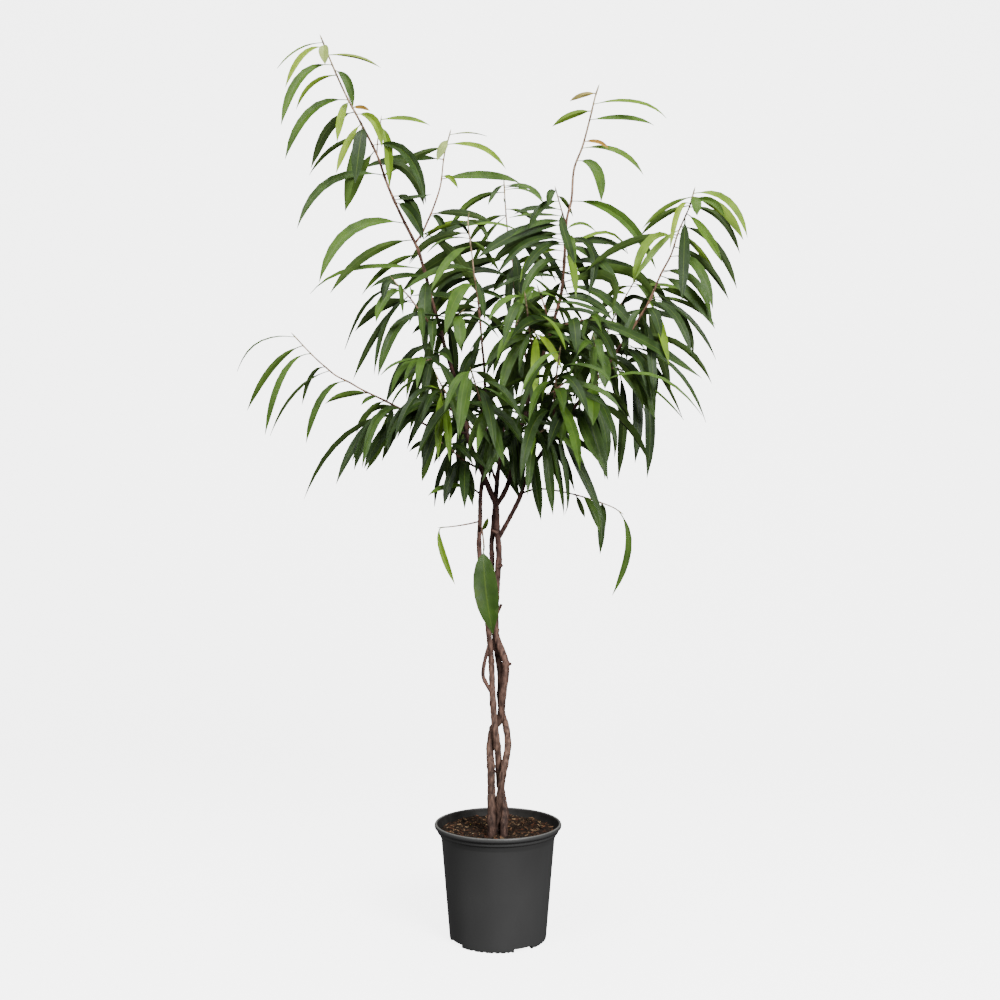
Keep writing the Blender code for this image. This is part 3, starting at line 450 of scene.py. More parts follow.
# %% Pull a disc up through rings
def pull_up(name, rings, sides):
    """A closed round shape through rings of (radius, height), in millimetres."""
    radius, height = rings[0]
    bpy.ops.object.select_all(action="DESELECT")
    bpy.ops.mesh.primitive_circle_add(vertices=sides, radius=radius * MM, fill_type="NGON",
                                      location=(0, 0, height * MM))
    piece = bpy.context.object
    piece.name = name
    settle(piece)
    bpy.ops.object.mode_set(mode="EDIT")
    bpy.ops.mesh.select_all(action="SELECT")
    for next_radius, next_height in rings[1:]:
        grow = next_radius / radius
        bpy.ops.mesh.extrude_region_move(
            TRANSFORM_OT_translate={"value": (0, 0, (next_height - height) * MM)})
        bpy.ops.transform.resize(value=(grow, grow, 1), center_override=(0, 0, next_height * MM))
        radius, height = next_radius, next_height
    bpy.ops.mesh.select_all(action="SELECT")
    bpy.ops.mesh.normals_make_consistent(inside=False)
    bpy.ops.object.mode_set(mode="OBJECT")
    return piece


FOOT = [(30, 0), (36, 2), (86, 2), (89, 0.6), (90, 0), (95.0, 0), (96.0, 0.5), (96.5, 1.8), (97, 6)]
WALL = [(97.7, 15), (105.5, 108), (113.2, 198)]
BAND = [(114.2, 200.6), (116.2, 205.2), (118.0, 209.6)]
BEAD = [(119.4, 210.4), (120.8, 211.8), (121.3, 213.6), (121.0, 215.6)]
NECK = [(121.8, 217.6), (123.4, 219.2)]
LIP = [(125.4, 219.8), (126.6, 221.2), (127, 223.2), (126.8, 225.6), (125.8, 227.4), (124, 228),
       (122.4, 227.6), (121.3, 226.2)]
INSIDE = [(120.4, 221.5), (119.3, 217.6), (115.6, 209), (111.4, 201.6), (110.9, 199), (94.6, 8),
          (92, 4.5), (24, 4.5)]
pot = pull_up("nursery_pot", FOOT + WALL + BAND + BEAD + NECK + LIP + INSIDE, 144)
print("pot faces", len(pot.data.polygons))

# %% Cut the drain gaps and the small feet
def cut(piece, tools):
    """Cut the tools from the piece, and remove them."""
    group = bpy.data.collections.new("tools")
    for tool in tools:
        group.objects.link(tool)
    modifier = piece.modifiers.new("cut", "BOOLEAN")
    modifier.operation = "DIFFERENCE"
    modifier.operand_type = "COLLECTION"
    modifier.collection = group
    modifier.solver = "EXACT"
    apply_all(piece)
    bpy.data.collections.remove(group)
    for tool in tools:
        bpy.data.objects.remove(tool)


def round_the_foot(tool, degrees):
    """Turn a cutter that was made on the +X side round the pot, counted from the front."""
    tool.rotation_euler = (0, 0, math.radians(degrees - 90))
    tool.location = tool.rotation_euler.to_matrix() @ tool.location
    settle(tool)


DRAINS = ((31, 24), (122, 28), (212, 28), (299, 29))
DRAIN_HIGH = 6.5 * MM
FOOT_DEPTH = 26 * MM
FOOT_RADIUS = 97 * MM
FOOT_WAVES = 56
cutters = []
for drain, width in DRAINS:
    wide = 2 * FOOT_RADIUS * math.sin(math.radians(width / 2))
    bpy.ops.mesh.primitive_cube_add(size=1, location=(FOOT_RADIUS, 0, 0),
                                    scale=(FOOT_DEPTH, wide, 2 * DRAIN_HIGH))
    gap = bpy.context.object
    edit(gap)
    pick(gap, lambda p: abs(p.y) > 0.4 and p.z > 0.4, "edges")
    bpy.ops.mesh.bevel(offset=0.40, segments=8, affect="EDGES")
    leave_edit()
    round_the_foot(gap, drain)
    cutters.append(gap)
draw = random.Random(3)
for i in range(FOOT_WAVES):
    turn = (i + draw.uniform(0.3, 0.7)) * 360 / FOOT_WAVES
    depth = draw.uniform(0.8, 2.4)
    radius = draw.uniform(3.4, 5.0)
    if any(abs((turn - drain + 180) % 360 - 180) < width / 2 + 2 for drain, width in DRAINS):
        continue
    bpy.ops.mesh.primitive_cylinder_add(vertices=20, radius=radius * MM, depth=FOOT_DEPTH,
                                        location=(FOOT_RADIUS, 0, (depth - radius) * MM),
                                        rotation=(0, math.pi / 2, 0))
    notch = bpy.context.object
    settle(notch)
    round_the_foot(notch, turn)
    cutters.append(notch)
cut(pot, cutters)
bpy.ops.object.shade_smooth_by_angle(angle=math.radians(32))
pot.data.materials.append(POT_FINISH)
pot.data.materials.append(POT_INSIDE_SHADED)
# Faces on the inner wall, below the lip, take the darker inside finish: a painted shade.
for face in pot.data.polygons:
    middle = face.center
    inward = middle.x * face.normal.x + middle.y * face.normal.y < 0
    face.material_index = int(inward and 12 * MM < middle.z < 224 * MM)
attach(pot, "root")
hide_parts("pot")
print("pot faces with drain gaps", len(pot.data.polygons))

# %% [markdown]
# ## The potting mix
#
# The pot is filled with dark peat to a finger's width under the lip, and the top is littered with
# broken bark. The peat is another disc pulled up, with many rings on top that a cloud pattern
# then makes uneven. One bark chip is modelled and copied hundreds of times.

# %% Peat
SOIL_SIDE = [(90.6, 5), (93.9, 9.6), (110.1, 199), (112.2, 205.4), (113.6, 210.6), (111.0, 214.2)]
SOIL_TOP = [(106 - 4 * i, 215.2) for i in range(26)]
soil = pull_up("potting_soil", SOIL_SIDE + SOIL_TOP, 110)
edit(soil)
pick(soil, lambda p: p.z > 210 * MM)
soil.vertex_groups.new(name="top")
bpy.ops.object.vertex_group_assign()
leave_edit()
lumps = bpy.data.textures.new("lumps", "CLOUDS")
lumps.noise_scale = 0.011
lumps.noise_depth = 3
heave = soil.modifiers.new("heave", "DISPLACE")
heave.texture = lumps
heave.texture_coords = "LOCAL"
heave.direction = "Z"
heave.strength = 9 * MM
heave.mid_level = 0.55
heave.vertex_group = "top"
apply_all(soil)
bpy.ops.object.shade_smooth()
soil.data.materials.append(SOIL_FINISH)
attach(soil, "root")
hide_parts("soil")
print("peat", len(soil.data.polygons), "faces,", round(soil.dimensions.z, 4), "m high")

# %% Numbers on a mesh, joins and copies
def stamp(piece, name, values):
    """Give every vertex of a piece a number under that name."""
    layer = piece.data.attributes.new(name, "FLOAT", "POINT")
    layer.data.foreach_set("value", values)


def join(name, pieces):
    """Several objects made one."""
    choose(*pieces)
    bpy.ops.object.join()
    pieces[0].name = name
    return pieces[0]


def copy_of(piece):
    """A copy with its own mesh."""
    twin = piece.copy()
    twin.data = piece.data.copy()
    bpy.context.scene.collection.objects.link(twin)
    return twin


print("ready to copy")

# %% One bark chip
CHIP = (10 * MM, 4.6 * MM, 2.2 * MM)
bpy.ops.mesh.primitive_cube_add(size=1, scale=CHIP)
chip = bpy.context.object
chip.name = "bark_chip"
settle(chip)
edit(chip)
pick(chip, lambda p: p.x > 4 * MM, "polygons")
bpy.ops.transform.resize(value=(1, 0.35, 0.5), center_override=(5 * MM, 0.6 * MM, 0))
pick(chip, lambda p: p.x < -4 * MM, "polygons")
bpy.ops.transform.resize(value=(1, 0.6, 0.8), center_override=(-5 * MM, -1.2 * MM, 0))
leave_edit()
print("chip corners", len(chip.data.vertices))

# %% Its copies, strewn over the peat
surface = KDTree(len(soil.data.vertices))
for vertex in soil.data.vertices:
    surface.insert((vertex.co.x, vertex.co.y, 0 if vertex.co.z > 0.2 else 1), vertex.index)
surface.balance()
STEM_FEET = [(-13, -54), (-1, -36), (12, -50)]
STEM_ROOM = 8.5 * MM
CHIPS = 1150
CHIPS_REACH = 115 * MM
AT_WALL = 110 * MM
YELLOW = 0.99
draw = random.Random(11)
chips = []
for i in range(CHIPS):
    away = CHIPS_REACH * math.sqrt(draw.random())
    turn = draw.uniform(0, math.tau)
    x, y = away * math.cos(turn), away * math.sin(turn)
    size = draw.uniform(0.25, 0.95) ** 1.3
    slim = draw.uniform(0.35, 1.0)
    tilt = Quaternion((0, 0, 1), draw.uniform(0, math.tau)) @ Quaternion(
        (draw.uniform(-1, 1), draw.uniform(-1, 1), 0), math.radians(draw.uniform(0, 42)))
    kind = draw.random()
    if kind > YELLOW:
        size *= 0.45
    elif away > AT_WALL:
        size *= 0.7
    if min(math.hypot(x - a * MM, y - b * MM) for a, b in STEM_FEET) < STEM_ROOM:
        continue
    ground = soil.data.vertices[surface.find((x, y, 0))[1]].co.z
    twin = copy_of(chip)
    for vertex in twin.data.vertices:
        jag = Vector((draw.uniform(-1, 1), draw.uniform(-1, 1), draw.uniform(-0.5, 0.5))) * MM
        shape = (vertex.co + jag) * size
        vertex.co = tilt @ Vector((shape.x, shape.y * slim, shape.z))
        vertex.co += Vector((x, y, ground + 0.9 * MM))
    stamp(twin, "chip", [kind] * len(twin.data.vertices))
    chips.append(twin)
bpy.data.objects.remove(chip)
litter = join("bark_litter", chips)
litter.data.materials.append(CHIP_FINISH)
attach(litter, "root")
print("chips", len(chips), "faces", len(litter.data.polygons))

# %% [markdown]
# ## The braided stems
#
# Three saplings were planted close together and wound round each other while they were supple. A
# stem could be skinned or lofted. A curve with a round bevel is quicker: it takes a list of places
# and a radius for each, and convert turns it into a mesh. Places are given as they are seen from
# `EYE`, in millimetres: right of the pot's axis, above the floor, and how far behind the axis.

# %% Places and smooth curves
LEAN = 46
LEAN_FOOT = 222
LEAN_TOP = 640


def seen(x, z, back):
    """The place that is seen at x and z, as far behind the pot's axis as back says."""
    flat = Vector((x * MM, 0.0, z * MM))
    return EYE + (flat - EYE) * (1 + back * MM / -EYE.y)


def slide(point, further):
    """The point moved away from the onlooker, so that it is still seen at the same place."""
    distance = point.y - EYE.y
    return EYE + (point - EYE) * ((distance + further * MM) / distance)


def leaned(route):
    """The route with its lower points nearer, as the stems stand in the front half of the pot."""
    return [(x, z, back - LEAN * min(max((LEAN_TOP - z) / (LEAN_TOP - LEAN_FOOT), 0), 1))
            for x, z, back in route]


def smooth(points, step):
    """Points along a Catmull-Rom curve through the given points, about a step apart."""
    ends = [2 * points[0] - points[1], *points, 2 * points[-1] - points[-2]]
    curve = [points[0].copy()]
    for before, start, end, after in zip(ends, ends[1:], ends[2:], ends[3:]):
        count = max(1, round((end - start).length / step))
        for i in range(1, count + 1):
            t = i / count
            curve.append(0.5 * (2 * start + (end - before) * t
                                + (2 * before - 5 * start + 4 * end - after) * t ** 2
                                + (3 * start - before - 3 * end + after) * t ** 3))
    return curve


def lengths(curve):
    """The distance along the curve of each of its points."""
    run = [0.0]
    for a, b in zip(curve, curve[1:]):
        run.append(run[-1] + (b - a).length)
    return run


def along(curve, share):
    """The point at a share of the curve's length."""
    run = lengths(curve)
    goal = min(max(share, 0.0), 1.0) * run[-1]
    for i in range(1, len(run)):
        if run[i] >= goal:
            return curve[i - 1].lerp(curve[i], (goal - run[i - 1]) / max(run[i] - run[i - 1], 1e-9))
    return curve[-1].copy()


def part_of(curve, start, end):
    """The stretch of a curve between two shares of its length."""
    run = lengths(curve)
    inner = [p for p, r in zip(curve, run) if start * run[-1] + MM < r < end * run[-1] - MM]
    return [along(curve, start), *inner, along(curve, end)]


def round_stem(name, path, radii, ages, knots=(), seed=0):
    """A round stem along a path. Radius in millimetres and age run evenly from end to end.

    Knots are shares of the length at which the stem swells a little, as it does under a leaf.
    """
    wander = random.Random(seed)
    run = lengths(path)
    bevelled = bpy.data.curves.new(name, "CURVE")
    bevelled.dimensions = "3D"
    bevelled.bevel_depth = MM
    bevelled.bevel_resolution = 3 if radii[0] > 3 else 1
    bevelled.use_fill_caps = True
    spline = bevelled.splines.new("POLY")
    spline.points.add(len(path) - 1)
    for point, place, r in zip(spline.points, path, run):
        share = r / run[-1]
        swell = sum(0.22 * math.exp(-((share - k) * run[-1] / (2.5 * MM)) ** 2) for k in knots)
        point.co = (*place, 1.0)
        point.radius = (radii[0] + (radii[1] - radii[0]) * share) * (
            1 + min(swell, 0.3) + wander.uniform(-0.07, 0.07))
    piece = bpy.data.objects.new(name, bevelled)
    bpy.context.scene.collection.objects.link(piece)
    choose(piece)
    bpy.ops.object.convert(target="MESH")
    tree = KDTree(len(path))
    for i, place in enumerate(path):
        tree.insert(place, i)
    tree.balance()
    stamp(piece, "age", [ages[0] + (ages[1] - ages[0]) * run[tree.find(v.co)[1]] / run[-1]
                         for v in piece.data.vertices])
    return piece


print("the pot stands", -EYE.y, "m away")

# %% Where the stems run
STEM_A = [(-13, 120, -8), (-13, 205, -8), (-13, 222, -8), (-13, 274, -6), (-14, 334, -2),
          (-16, 374, 4), (-10, 414, 9), (3, 432, 8), (7, 454, 2), (10, 484, -6), (16, 538, -9),
          (10, 564, -6), (2, 584, 0), (-4, 602, 3), (-5, 634, 0), (-4, 674, 0), (0, 734, 0),
          (2, 754, 0), (1, 784, 0), (-2, 814, 0), (-4, 860, 0), (-14, 886, -2), (-24, 910, -2)]
STEM_B = [(-1, 120, 10), (-1, 205, 10), (-1, 222, 10), (0, 244, 3), (2, 267, -7), (6, 298, -13),
          (10, 324, -13), (14, 344, -11), (20, 384, -2), (15, 424, 18), (10, 440, 24),
          (4, 474, 19), (5, 514, 13), (2, 544, 13), (-3, 574, 18), (-8, 620, 18), (-12, 690, 17),
          (-12, 754, 17), (-13, 784, 18), (-10, 814, 20), (-6, 860, 30), (0, 930, 56)]
STEM_C = [(12, 120, -4), (12, 205, -4), (12, 222, -4), (14, 246, 2), (11, 269, 8), (7, 288, 10),
          (4, 306, 9), (2, 334, 6), (0, 364, -1), (-3, 394, -8), (-7, 424, -10), (-9, 454, -9),
          (-11, 484, -5), (-12, 514, -1), (-13, 544, -2), (-15, 574, -8), (-18, 600, -13),
          (-22, 640, -12), (-29, 700, -8), (-36, 754, -4), (-38, 790, -4), (-36, 830, 2),
          (-35, 880, 14), (-30, 920, 19), (-25, 960, 20), (-25, 1010, 20), (-26, 1064, 20)]
LOOP = [(-9, 480, -5), (-16, 492, -6), (-24, 506, -6), (-30, 522, -6), (-27, 548, -6), (-20, 575, -8),
        (-16, 592, -11)]
KNOTS = [((-14, 326), (-4, 329, -8)), ((15, 540), (26, 545, -12)), ((-5, 640), (7, 664, -4)),
         ((1, 738), (9, 742, -8)), ((-2, 806), (-14, 812, -8))]
BARK_STEP = 5 * MM
wood = {}
for node, route, radii in (("stem_a", STEM_A, (8.5, 5.8)), ("stem_b", STEM_B, (7.7, 4.9)),
                           ("stem_c", STEM_C, (7.9, 3.6))):
    path = smooth([seen(*p) for p in leaned(route)], BARK_STEP)
    scars = [0.11, 0.19, 0.27, 0.36, 0.45, 0.53, 0.62, 0.70, 0.79, 0.88]
    wood[node] = [round_stem(node, path, radii, (0.0, 0.35), scars, seed=len(wood))]
loop = smooth([seen(*p) for p in leaned(LOOP)], BARK_STEP)
wood["stem_c"].append(round_stem("loop", loop, (4.0, 3.6), (0.2, 0.3), (0.3, 0.55)))
for (x, z), end in KNOTS:
    nub = smooth([seen(*p) for p in leaned([(x, z, end[2] / 2), end])], 2 * MM)
    wood["stem_a"].append(round_stem("knot", nub, (4.4, 2.7), (0.1, 0.3)))
print("stems", {node: len(pieces) for node, pieces in wood.items()})

# %% [markdown]
# ## Where the leaves hang
#
# Each spray is one shoot with its leaves. Its route starts inside a stem, and the first part of it,
# up to `cut`, is wood of that stem. Girth is its radius there and at the tip. A leaf is given by
# where it sits along the leafy part, where its tip is seen, how far the tip lies behind its root,
# and how far its face turns to the onlooker, some also by their width and how far they bow to a
# side. Fill leaves follow a rule instead, up to about `size` long: each turns 137.5 degrees round
# the shoot from the last, as fig leaves do.

# %% The sprays
SPRAYS = {
    "spray_leader_left": {
        "stem": "stem_a", "cut": 0.445, "girth": (5.2, 1.6),
        "route": [(-22, 906, -2), (-34, 934, 0), (-47, 962, 0), (-56, 984, 0), (-66, 1024, 4),
                  (-74, 1064, 6), (-86, 1114, 8), (-104, 1170, 10), (-116, 1218, 12), (-132, 1270, 14),
                  (-144, 1320, 14), (-150, 1340, 12), (-162, 1378, 8), (-192, 1438, 0),
                  (-220, 1500, -10), (-242, 1562, -20), (-274, 1625, -32), (-302, 1677, -42),
                  (-326, 1729, -52), (-353, 1794, -60)],
        "leaves": [(1.00, -442, 1734, -20, 20, 8), (0.98, -426, 1694, -70, 80, 11),
                   (0.91, -434, 1620, -30, 80, 16), (0.87, -404, 1652, 30, 50, 8),
                   (0.77, -426, 1552, -30, 80, 17), (0.76, -322, 1586, -60, 85, 14),
                   (0.72, -374, 1536, 40, 80, 19), (0.62, -378, 1522, 60, 60, 9),
                   (0.67, -324, 1524, -50, 85, 13), (0.65, -286, 1502, -90, 85, 24),
                   (0.56, -306, 1450, 50, 85, 17), (0.46, -402, 1414, -40, 80, 15),
                   (0.26, -358, 1306, -50, 80, 20), (0.19, -336, 1286, 20, 80, 17),
                   (0.13, -272, 1284, 60, 75, 12), (0.07, -376, 1286, 50, 70, 11),
                   (0.04, -256, 1296, -30, 75, 13), (0.95, -234, 1736, 30, 50, 7),
                   (0.89, -290, 1656, -40, 80, 16, 12), (0.74, -256, 1650, 10, 80, 9),
                   (0.71, -232, 1576, -30, 85, 17, 10), (0.58, -144, 1464, -30, 85, 20),
                   (0.35, -148, 1392, -40, 85, 22), (0.36, -134, 1484, 30, 60, 10),
                   (0.99, -346, 1742, -20, 85, 20), (0.02, -146, 1212, -60, 80, 24)],
        "twigs": [{
            "girth": (2.4, 1.4),
            "route": [(-166, 1386, 6), (-152, 1406, 30), (-142, 1428, 44), (-130, 1456, 55),
                      (-115, 1503, 70), (-108, 1560, 80), (-96, 1608, 85)],
            "leaves": [(1.00, -22, 1602, 20, 20, 7), (0.92, 16, 1535, -20, 75, 11),
                       (0.96, -122, 1552, -30, 80, 16), (0.90, -233, 1519, 20, 80, 13),
                       (0.80, -276, 1535, 40, 80, 16), (0.64, 46, 1506, 30, 80, 16),
                       (0.66, -80, 1496, -30, 80, 9), (0.33, -8, 1426, 20, 80, 13),
                       (0.31, -102, 1394, -30, 80, 14)]}, {
            "girth": (1.4, 1.1),
            "route": [(-242, 1562, -20), (-241, 1588, -12), (-237, 1612, -4), (-234, 1634, 2)],
            "leaves": [(1.00, -136, 1622, 20, 75, 10), (0.82, -217, 1496, -40, 80, 18, 12)]}],
    },
    "spray_leader_thin": {
        "stem": "stem_c", "cut": 0.22, "girth": (3.2, 1.4),
        "route": [(-26, 1060, 20), (-26, 1104, 20), (-28, 1144, 20), (-32, 1184, 20), (-36, 1234, 18),
                  (-40, 1274, 16), (-44, 1304, 14), (-49, 1333, 12), (-52, 1362, 10), (-56, 1392, 8),
                  (-60, 1426, 6), (-59, 1440, 6)],
        "leaves": [(0.55, -106, 1200, -70, 80, 22), (0.58, -26, 1230, -60, 85), (0.29, -116, 1198, 20, 60),
                   (0.36, -124, 1238, 40, 60), (0.43, -172, 1282, 30, 50), (0.10, -78, 1088, -70, 80),
                   (0.20, -50, 1130, -50, 85), (0.50, 14, 1270, -30, 85), (0.81, -134, 1290, -50, 80),
                   (0.90, -178, 1348, 20, 70), (0.98, -150, 1394, 40, 60), (0.99, -20, 1390, 20, 70),
                   (0.85, 4, 1328, 60, 80)],
        "fill": 2, "size": 150,
    },
    "spray_leader_tall": {
        "stem": "stem_a", "cut": 0.475, "girth": (5.2, 1.6),
        "route": [(-4, 862, 0), (10, 882, -4), (22, 910, -8), (30, 944, -8), (36, 984, -4),
                  (42, 1014, 0), (54, 1034, 4), (60, 1074, 8), (64, 1104, 12), (80, 1134, 16),
                  (94, 1174, 20), (106, 1214, 22), (124, 1274, 26), (130, 1314, 28), (133, 1358, 30),
                  (137, 1430, 34), (147, 1474, 34), (152, 1534, 32), (169, 1580, 30), (184, 1636, 28),
                  (194, 1678, 26), (200, 1697, 26)],
        "leaves": [(0.99, 143, 1670, 0, 70, 9), (0.94, 337, 1636, -30, 60, 10),
                   (0.91, 108, 1620, 30, 70, 13), (0.87, 312, 1623, 40, 65, 13),
                   (0.74, 291, 1522, -30, 70, 11), (0.77, 222, 1575, -20, 70, 9),
                   (0.68, 206, 1468, -50, 80, 20, 20), (0.50, 316, 1334, -40, 85, 20),
                   (0.39, -42, 1356, -20, 70),
                   (0.35, -16, 1340, 30, 70), (0.30, 38, 1370, 60, 60), (0.31, 48, 1314, -60, 80),
                   (0.33, 156, 1347, -70, 80), (0.25, 156, 1276, -60, 80), (0.30, 184, 1282, 40, 85),
                   (0.30, 244, 1300, -20, 70), (0.20, 56, 1314, 30, 75), (0.32, 260, 1366, 40, 60),
                   (0.31, 219, 1384, 70, 55), (0.22, 304, 1312, 60, 50), (0.06, 224, 1242, -20, 70),
                   (0.10, 40, 1236, 40, 70), (0.14, 90, 1230, 60, 80), (0.02, 150, 1214, 50, 70)],
        "twigs": [{
            "girth": (1.9, 1.4),
            "route": [(137, 1424, 34), (129, 1446, 20), (121, 1474, 10), (116, 1492, 5)],
            "leaves": [(0.99, 100, 1460, -30, 85, 14), (0.70, 60, 1414, -20, 80, 15),
                       (0.85, 150, 1440, 30, 75, 9), (0.35, 154, 1342, -40, 85, 16, -26)]}],
    },
    "spray_leader_right": {
        "stem": "stem_a", "cut": 0.55, "girth": (4.8, 1.5),
        "route": [(2, 798, 0), (24, 838, -8), (44, 878, -12), (56, 914, -14), (86, 964, -18),
                  (116, 1004, -22), (148, 1050, -26), (174, 1084, -30), (198, 1114, -32),
                  (230, 1158, -34), (268, 1214, -36), (300, 1264, -36), (314, 1296, -36),
                  (327, 1326, -36), (346, 1362, -36), (361, 1408, -36), (382, 1456, -36),
                  (392, 1490, -36)],
        "leaves": [(1.00, 499, 1396, -20, 70, 14), (0.98, 491, 1392, 40, 80, 18),
                   (0.95, 454, 1436, -60, 70, 12), (0.92, 484, 1364, 10, 75, 12),
                   (0.98, 398, 1440, -40, 85, 18), (0.88, 448, 1346, -40, 85, 16),
                   (0.80, 478, 1294, 30, 70, 13), (0.76, 442, 1310, 70, 65, 11),
                   (0.68, 462, 1272, 20, 60, 13), (0.62, 430, 1252, -50, 80, 17),
                   (0.53, 424, 1254, 50, 65, 14), (0.50, 434, 1214, 0, 80, 20),
                   (0.98, 288, 1414, 10, 60, 9), (0.93, 284, 1400, 60, 70, 11),
                   (0.94, 344, 1372, -60, 85, 11), (0.78, 274, 1314, -30, 75, 12),
                   (0.75, 174, 1328, 40, 65, 14), (0.86, 368, 1268, -60, 85, 21),
                   (0.34, 342, 1142, -60, 80, 15), (0.30, 326, 1194, -70, 85, 17),
                   (0.37, 436, 1222, 40, 50, 9), (0.36, 436, 1152, -10, 65, 11),
                   (0.34, 388, 1160, -50, 80, 14), (0.25, 312, 1070, -40, 85, 17),
                   (0.21, 346, 1082, 50, 85, 16), (0.12, 428, 1104, 20, 60, 12),
                   (0.04, 416, 1026, -30, 50, 11), (0.03, 314, 1038, -50, 80, 19),
                   (0.07, 370, 1034, 60, 20, 8)],
    },
    "spray_leader_back": {
        "stem": "stem_b", "cut": 0.30, "girth": (4.4, 1.5),
        "route": [(0, 926, 54), (10, 1010, 95), (20, 1090, 130), (30, 1180, 165), (44, 1270, 195),
                  (56, 1350, 220)],
        "leaves": [], "fill": 15, "size": 205,
    },
    "spray_far_left": {
        "stem": "stem_a", "cut": 0.30, "girth": (2.8, 1.3),
        "route": [(-62, 1006, 2), (-96, 1010, -10), (-136, 1018, -25), (-176, 1042, -40),
                  (-196, 1054, -45), (-226, 1070, -50), (-272, 1092, -55), (-296, 1106, -58),
                  (-324, 1120, -60), (-346, 1138, -60), (-362, 1152, -60), (-384, 1174, -60),
                  (-408, 1200, -60)],
        "leaves": [(1.00, -522, 1128, -10, 15, 8), (0.92, -502, 1050, 30, 75, 13),
                   (0.84, -466, 1000, -30, 80, 13), (0.70, -392, 1062, 30, 60, 9),
                   (0.66, -456, 1000, 50, 10, 8), (0.52, -384, 984, -20, 75, 13),
                   (0.34, -346, 1064, 30, 70, 12), (0.28, -274, 1060, -30, 60, 8),
                   (0.22, -284, 1006, 40, 70, 11), (0.10, -288, 930, -40, 85, 17),
                   (0.04, -268, 934, -10, 80, 18), (0.03, -388, 874, 30, 50, 11),
                   (0.12, -324, 902, -50, 80, 15), (0.16, -220, 966, -30, 80, 13),
                   (0.02, -232, 950, 40, 80, 16)],
    },
    "spray_left_mid": {
        "stem": "stem_a", "cut": 0.16, "girth": (2.4, 1.3),
        "route": [(-110, 1194, 11), (-124, 1210, -15), (-154, 1246, -40), (-178, 1278, -60),
                  (-194, 1294, -66), (-210, 1312, -70)],
        "leaves": [(1.00, -230, 1270, -20, 80, 10), (0.80, -244, 1226, -40, 85, 16),
                   (0.70, -290, 1112, 20, 65, 12), (0.62, -248, 1122, -20, 65, 11),
                   (0.35, -240, 1118, -50, 85, 19), (0.30, -146, 1160, -60, 80),
                   (0.45, -150, 1184, -80, 85), (0.90, -190, 1240, -60, 80)],
    },
    "spray_left_low": {
        "stem": "stem_a", "cut": 0.3, "girth": (2.2, 1.3),
        "route": [(-103, 1168, 10), (-120, 1160, -30), (-136, 1152, -60), (-152, 1150, -85)],
        "leaves": [(0.10, -224, 1066, -10, 55), (0.30, -148, 1066, -60, 80), (0.60, -214, 1082, -40, 40),
                   (0.90, -188, 1100, -60, 50)],
        "fill": 4, "size": 180,
    },
    "spray_left_inner": {
        "stem": "stem_a", "cut": 0.3, "girth": (2.4, 1.3),
        "route": [(-66, 1024, 4), (-86, 1044, -30), (-106, 1068, -60), (-116, 1092, -84)],
        "leaves": [(0.70, -14, 980, -50, 70), (0.30, -202, 994, -20, 60), (0.60, -226, 974, -60, 60),
                   (0.90, -120, 950, -60, 80)],
        "fill": 6, "size": 185,
    },
    "spray_left_down": {
        "stem": "stem_a", "cut": 0.25, "girth": (2.6, 1.3),
        "route": [(-34, 934, -1), (-56, 944, -24), (-76, 956, -42), (-96, 974, -55), (-122, 992, -62)],
        "leaves": [(0.35, -108, 860, -30, 80, 16), (0.60, -102, 912, 20, 60, 12),
                   (0.95, -142, 960, -30, 40), (1.00, -152, 908, -40, 75, 15),
                   (0.98, -178, 968, 30, 50)],
    },
    "spray_low_left": {
        "stem": "stem_c", "cut": 0.14, "girth": (1.9, 1.3),
        "route": [(-36, 830, 2), (-60, 824, -20), (-90, 819, -30), (-112, 817, -34)],
        "leaves": [(1.00, -86, 702, -20, 60, 12, -40)],
    },
    "spray_low_front": {
        "stem": "stem_c", "cut": 0.35, "girth": (2.2, 1.6),
        "route": [(-37, 806, 0), (-36, 818, -22), (-33, 816, -42), (-30, 798, -56), (-28, 778, -60)],
        "leaves": [(1.00, -10, 602, -30, 88, 42, -16), (0.42, -20, 836, -40, 55)],
    },
    "spray_fork_left": {
        "stem": "stem_c", "cut": 0.4, "girth": (2.2, 1.4),
        "route": [(-35, 884, 14), (-48, 894, 2), (-58, 898, -14), (-64, 900, -30)],
        "leaves": [(0.60, -140, 880, -40, 50, 12), (1.00, -50, 858, -70, 70, 12)],
    },
    "spray_diagonal": {
        "stem": "stem_a", "cut": 0.12, "girth": (2.3, 1.3),
        "route": [(48, 886, -12), (76, 894, -22), (108, 892, -28), (148, 884, -32), (190, 872, -34),
                  (228, 858, -34), (244, 848, -34)],
        "leaves": [(1.00, 228, 680, -10, 70, 13, 54), (0.66, 204, 762, -30, 80, 15, 14),
                   (0.76, 210, 800, 20, 85, 12, 10), (0.48, 174, 836, 20, 80, 9),
                   (0.55, 204, 806, -40, 85, 14)],
    },
    "spray_centre_low": {
        "stem": "stem_a", "cut": 0.3, "girth": (2.6, 1.4),
        "route": [(36, 984, -4), (54, 992, -30), (74, 1002, -55), (94, 1012, -72)],
        "leaves": [(0.20, 144, 934, -30, 70), (0.60, 104, 944, -70, 60), (0.80, 110, 840, -40, 85),
                   (0.30, 86, 830, -10, 80), (0.90, 132, 840, 20, 60, 12), (1.00, 174, 940, -30, 60)],
        "fill": 4, "size": 165,
    },
    "spray_centre_left": {
        "stem": "stem_a", "cut": 0.25, "girth": (2.6, 1.4),
        "route": [(42, 1014, 0), (24, 1026, -40), (6, 1038, -70), (-8, 1052, -88)],
        "leaves": [(0.20, -46, 918, -40, 60), (0.50, 34, 1010, -90, 80), (0.80, -28, 914, -20, 70),
                   (0.40, 34, 894, -30, 70), (1.00, -60, 960, -60, 70),
                   (0.10, 46, 886, 60, 80, 24)],
        "fill": 6, "size": 185,
    },
    "spray_right_low": {
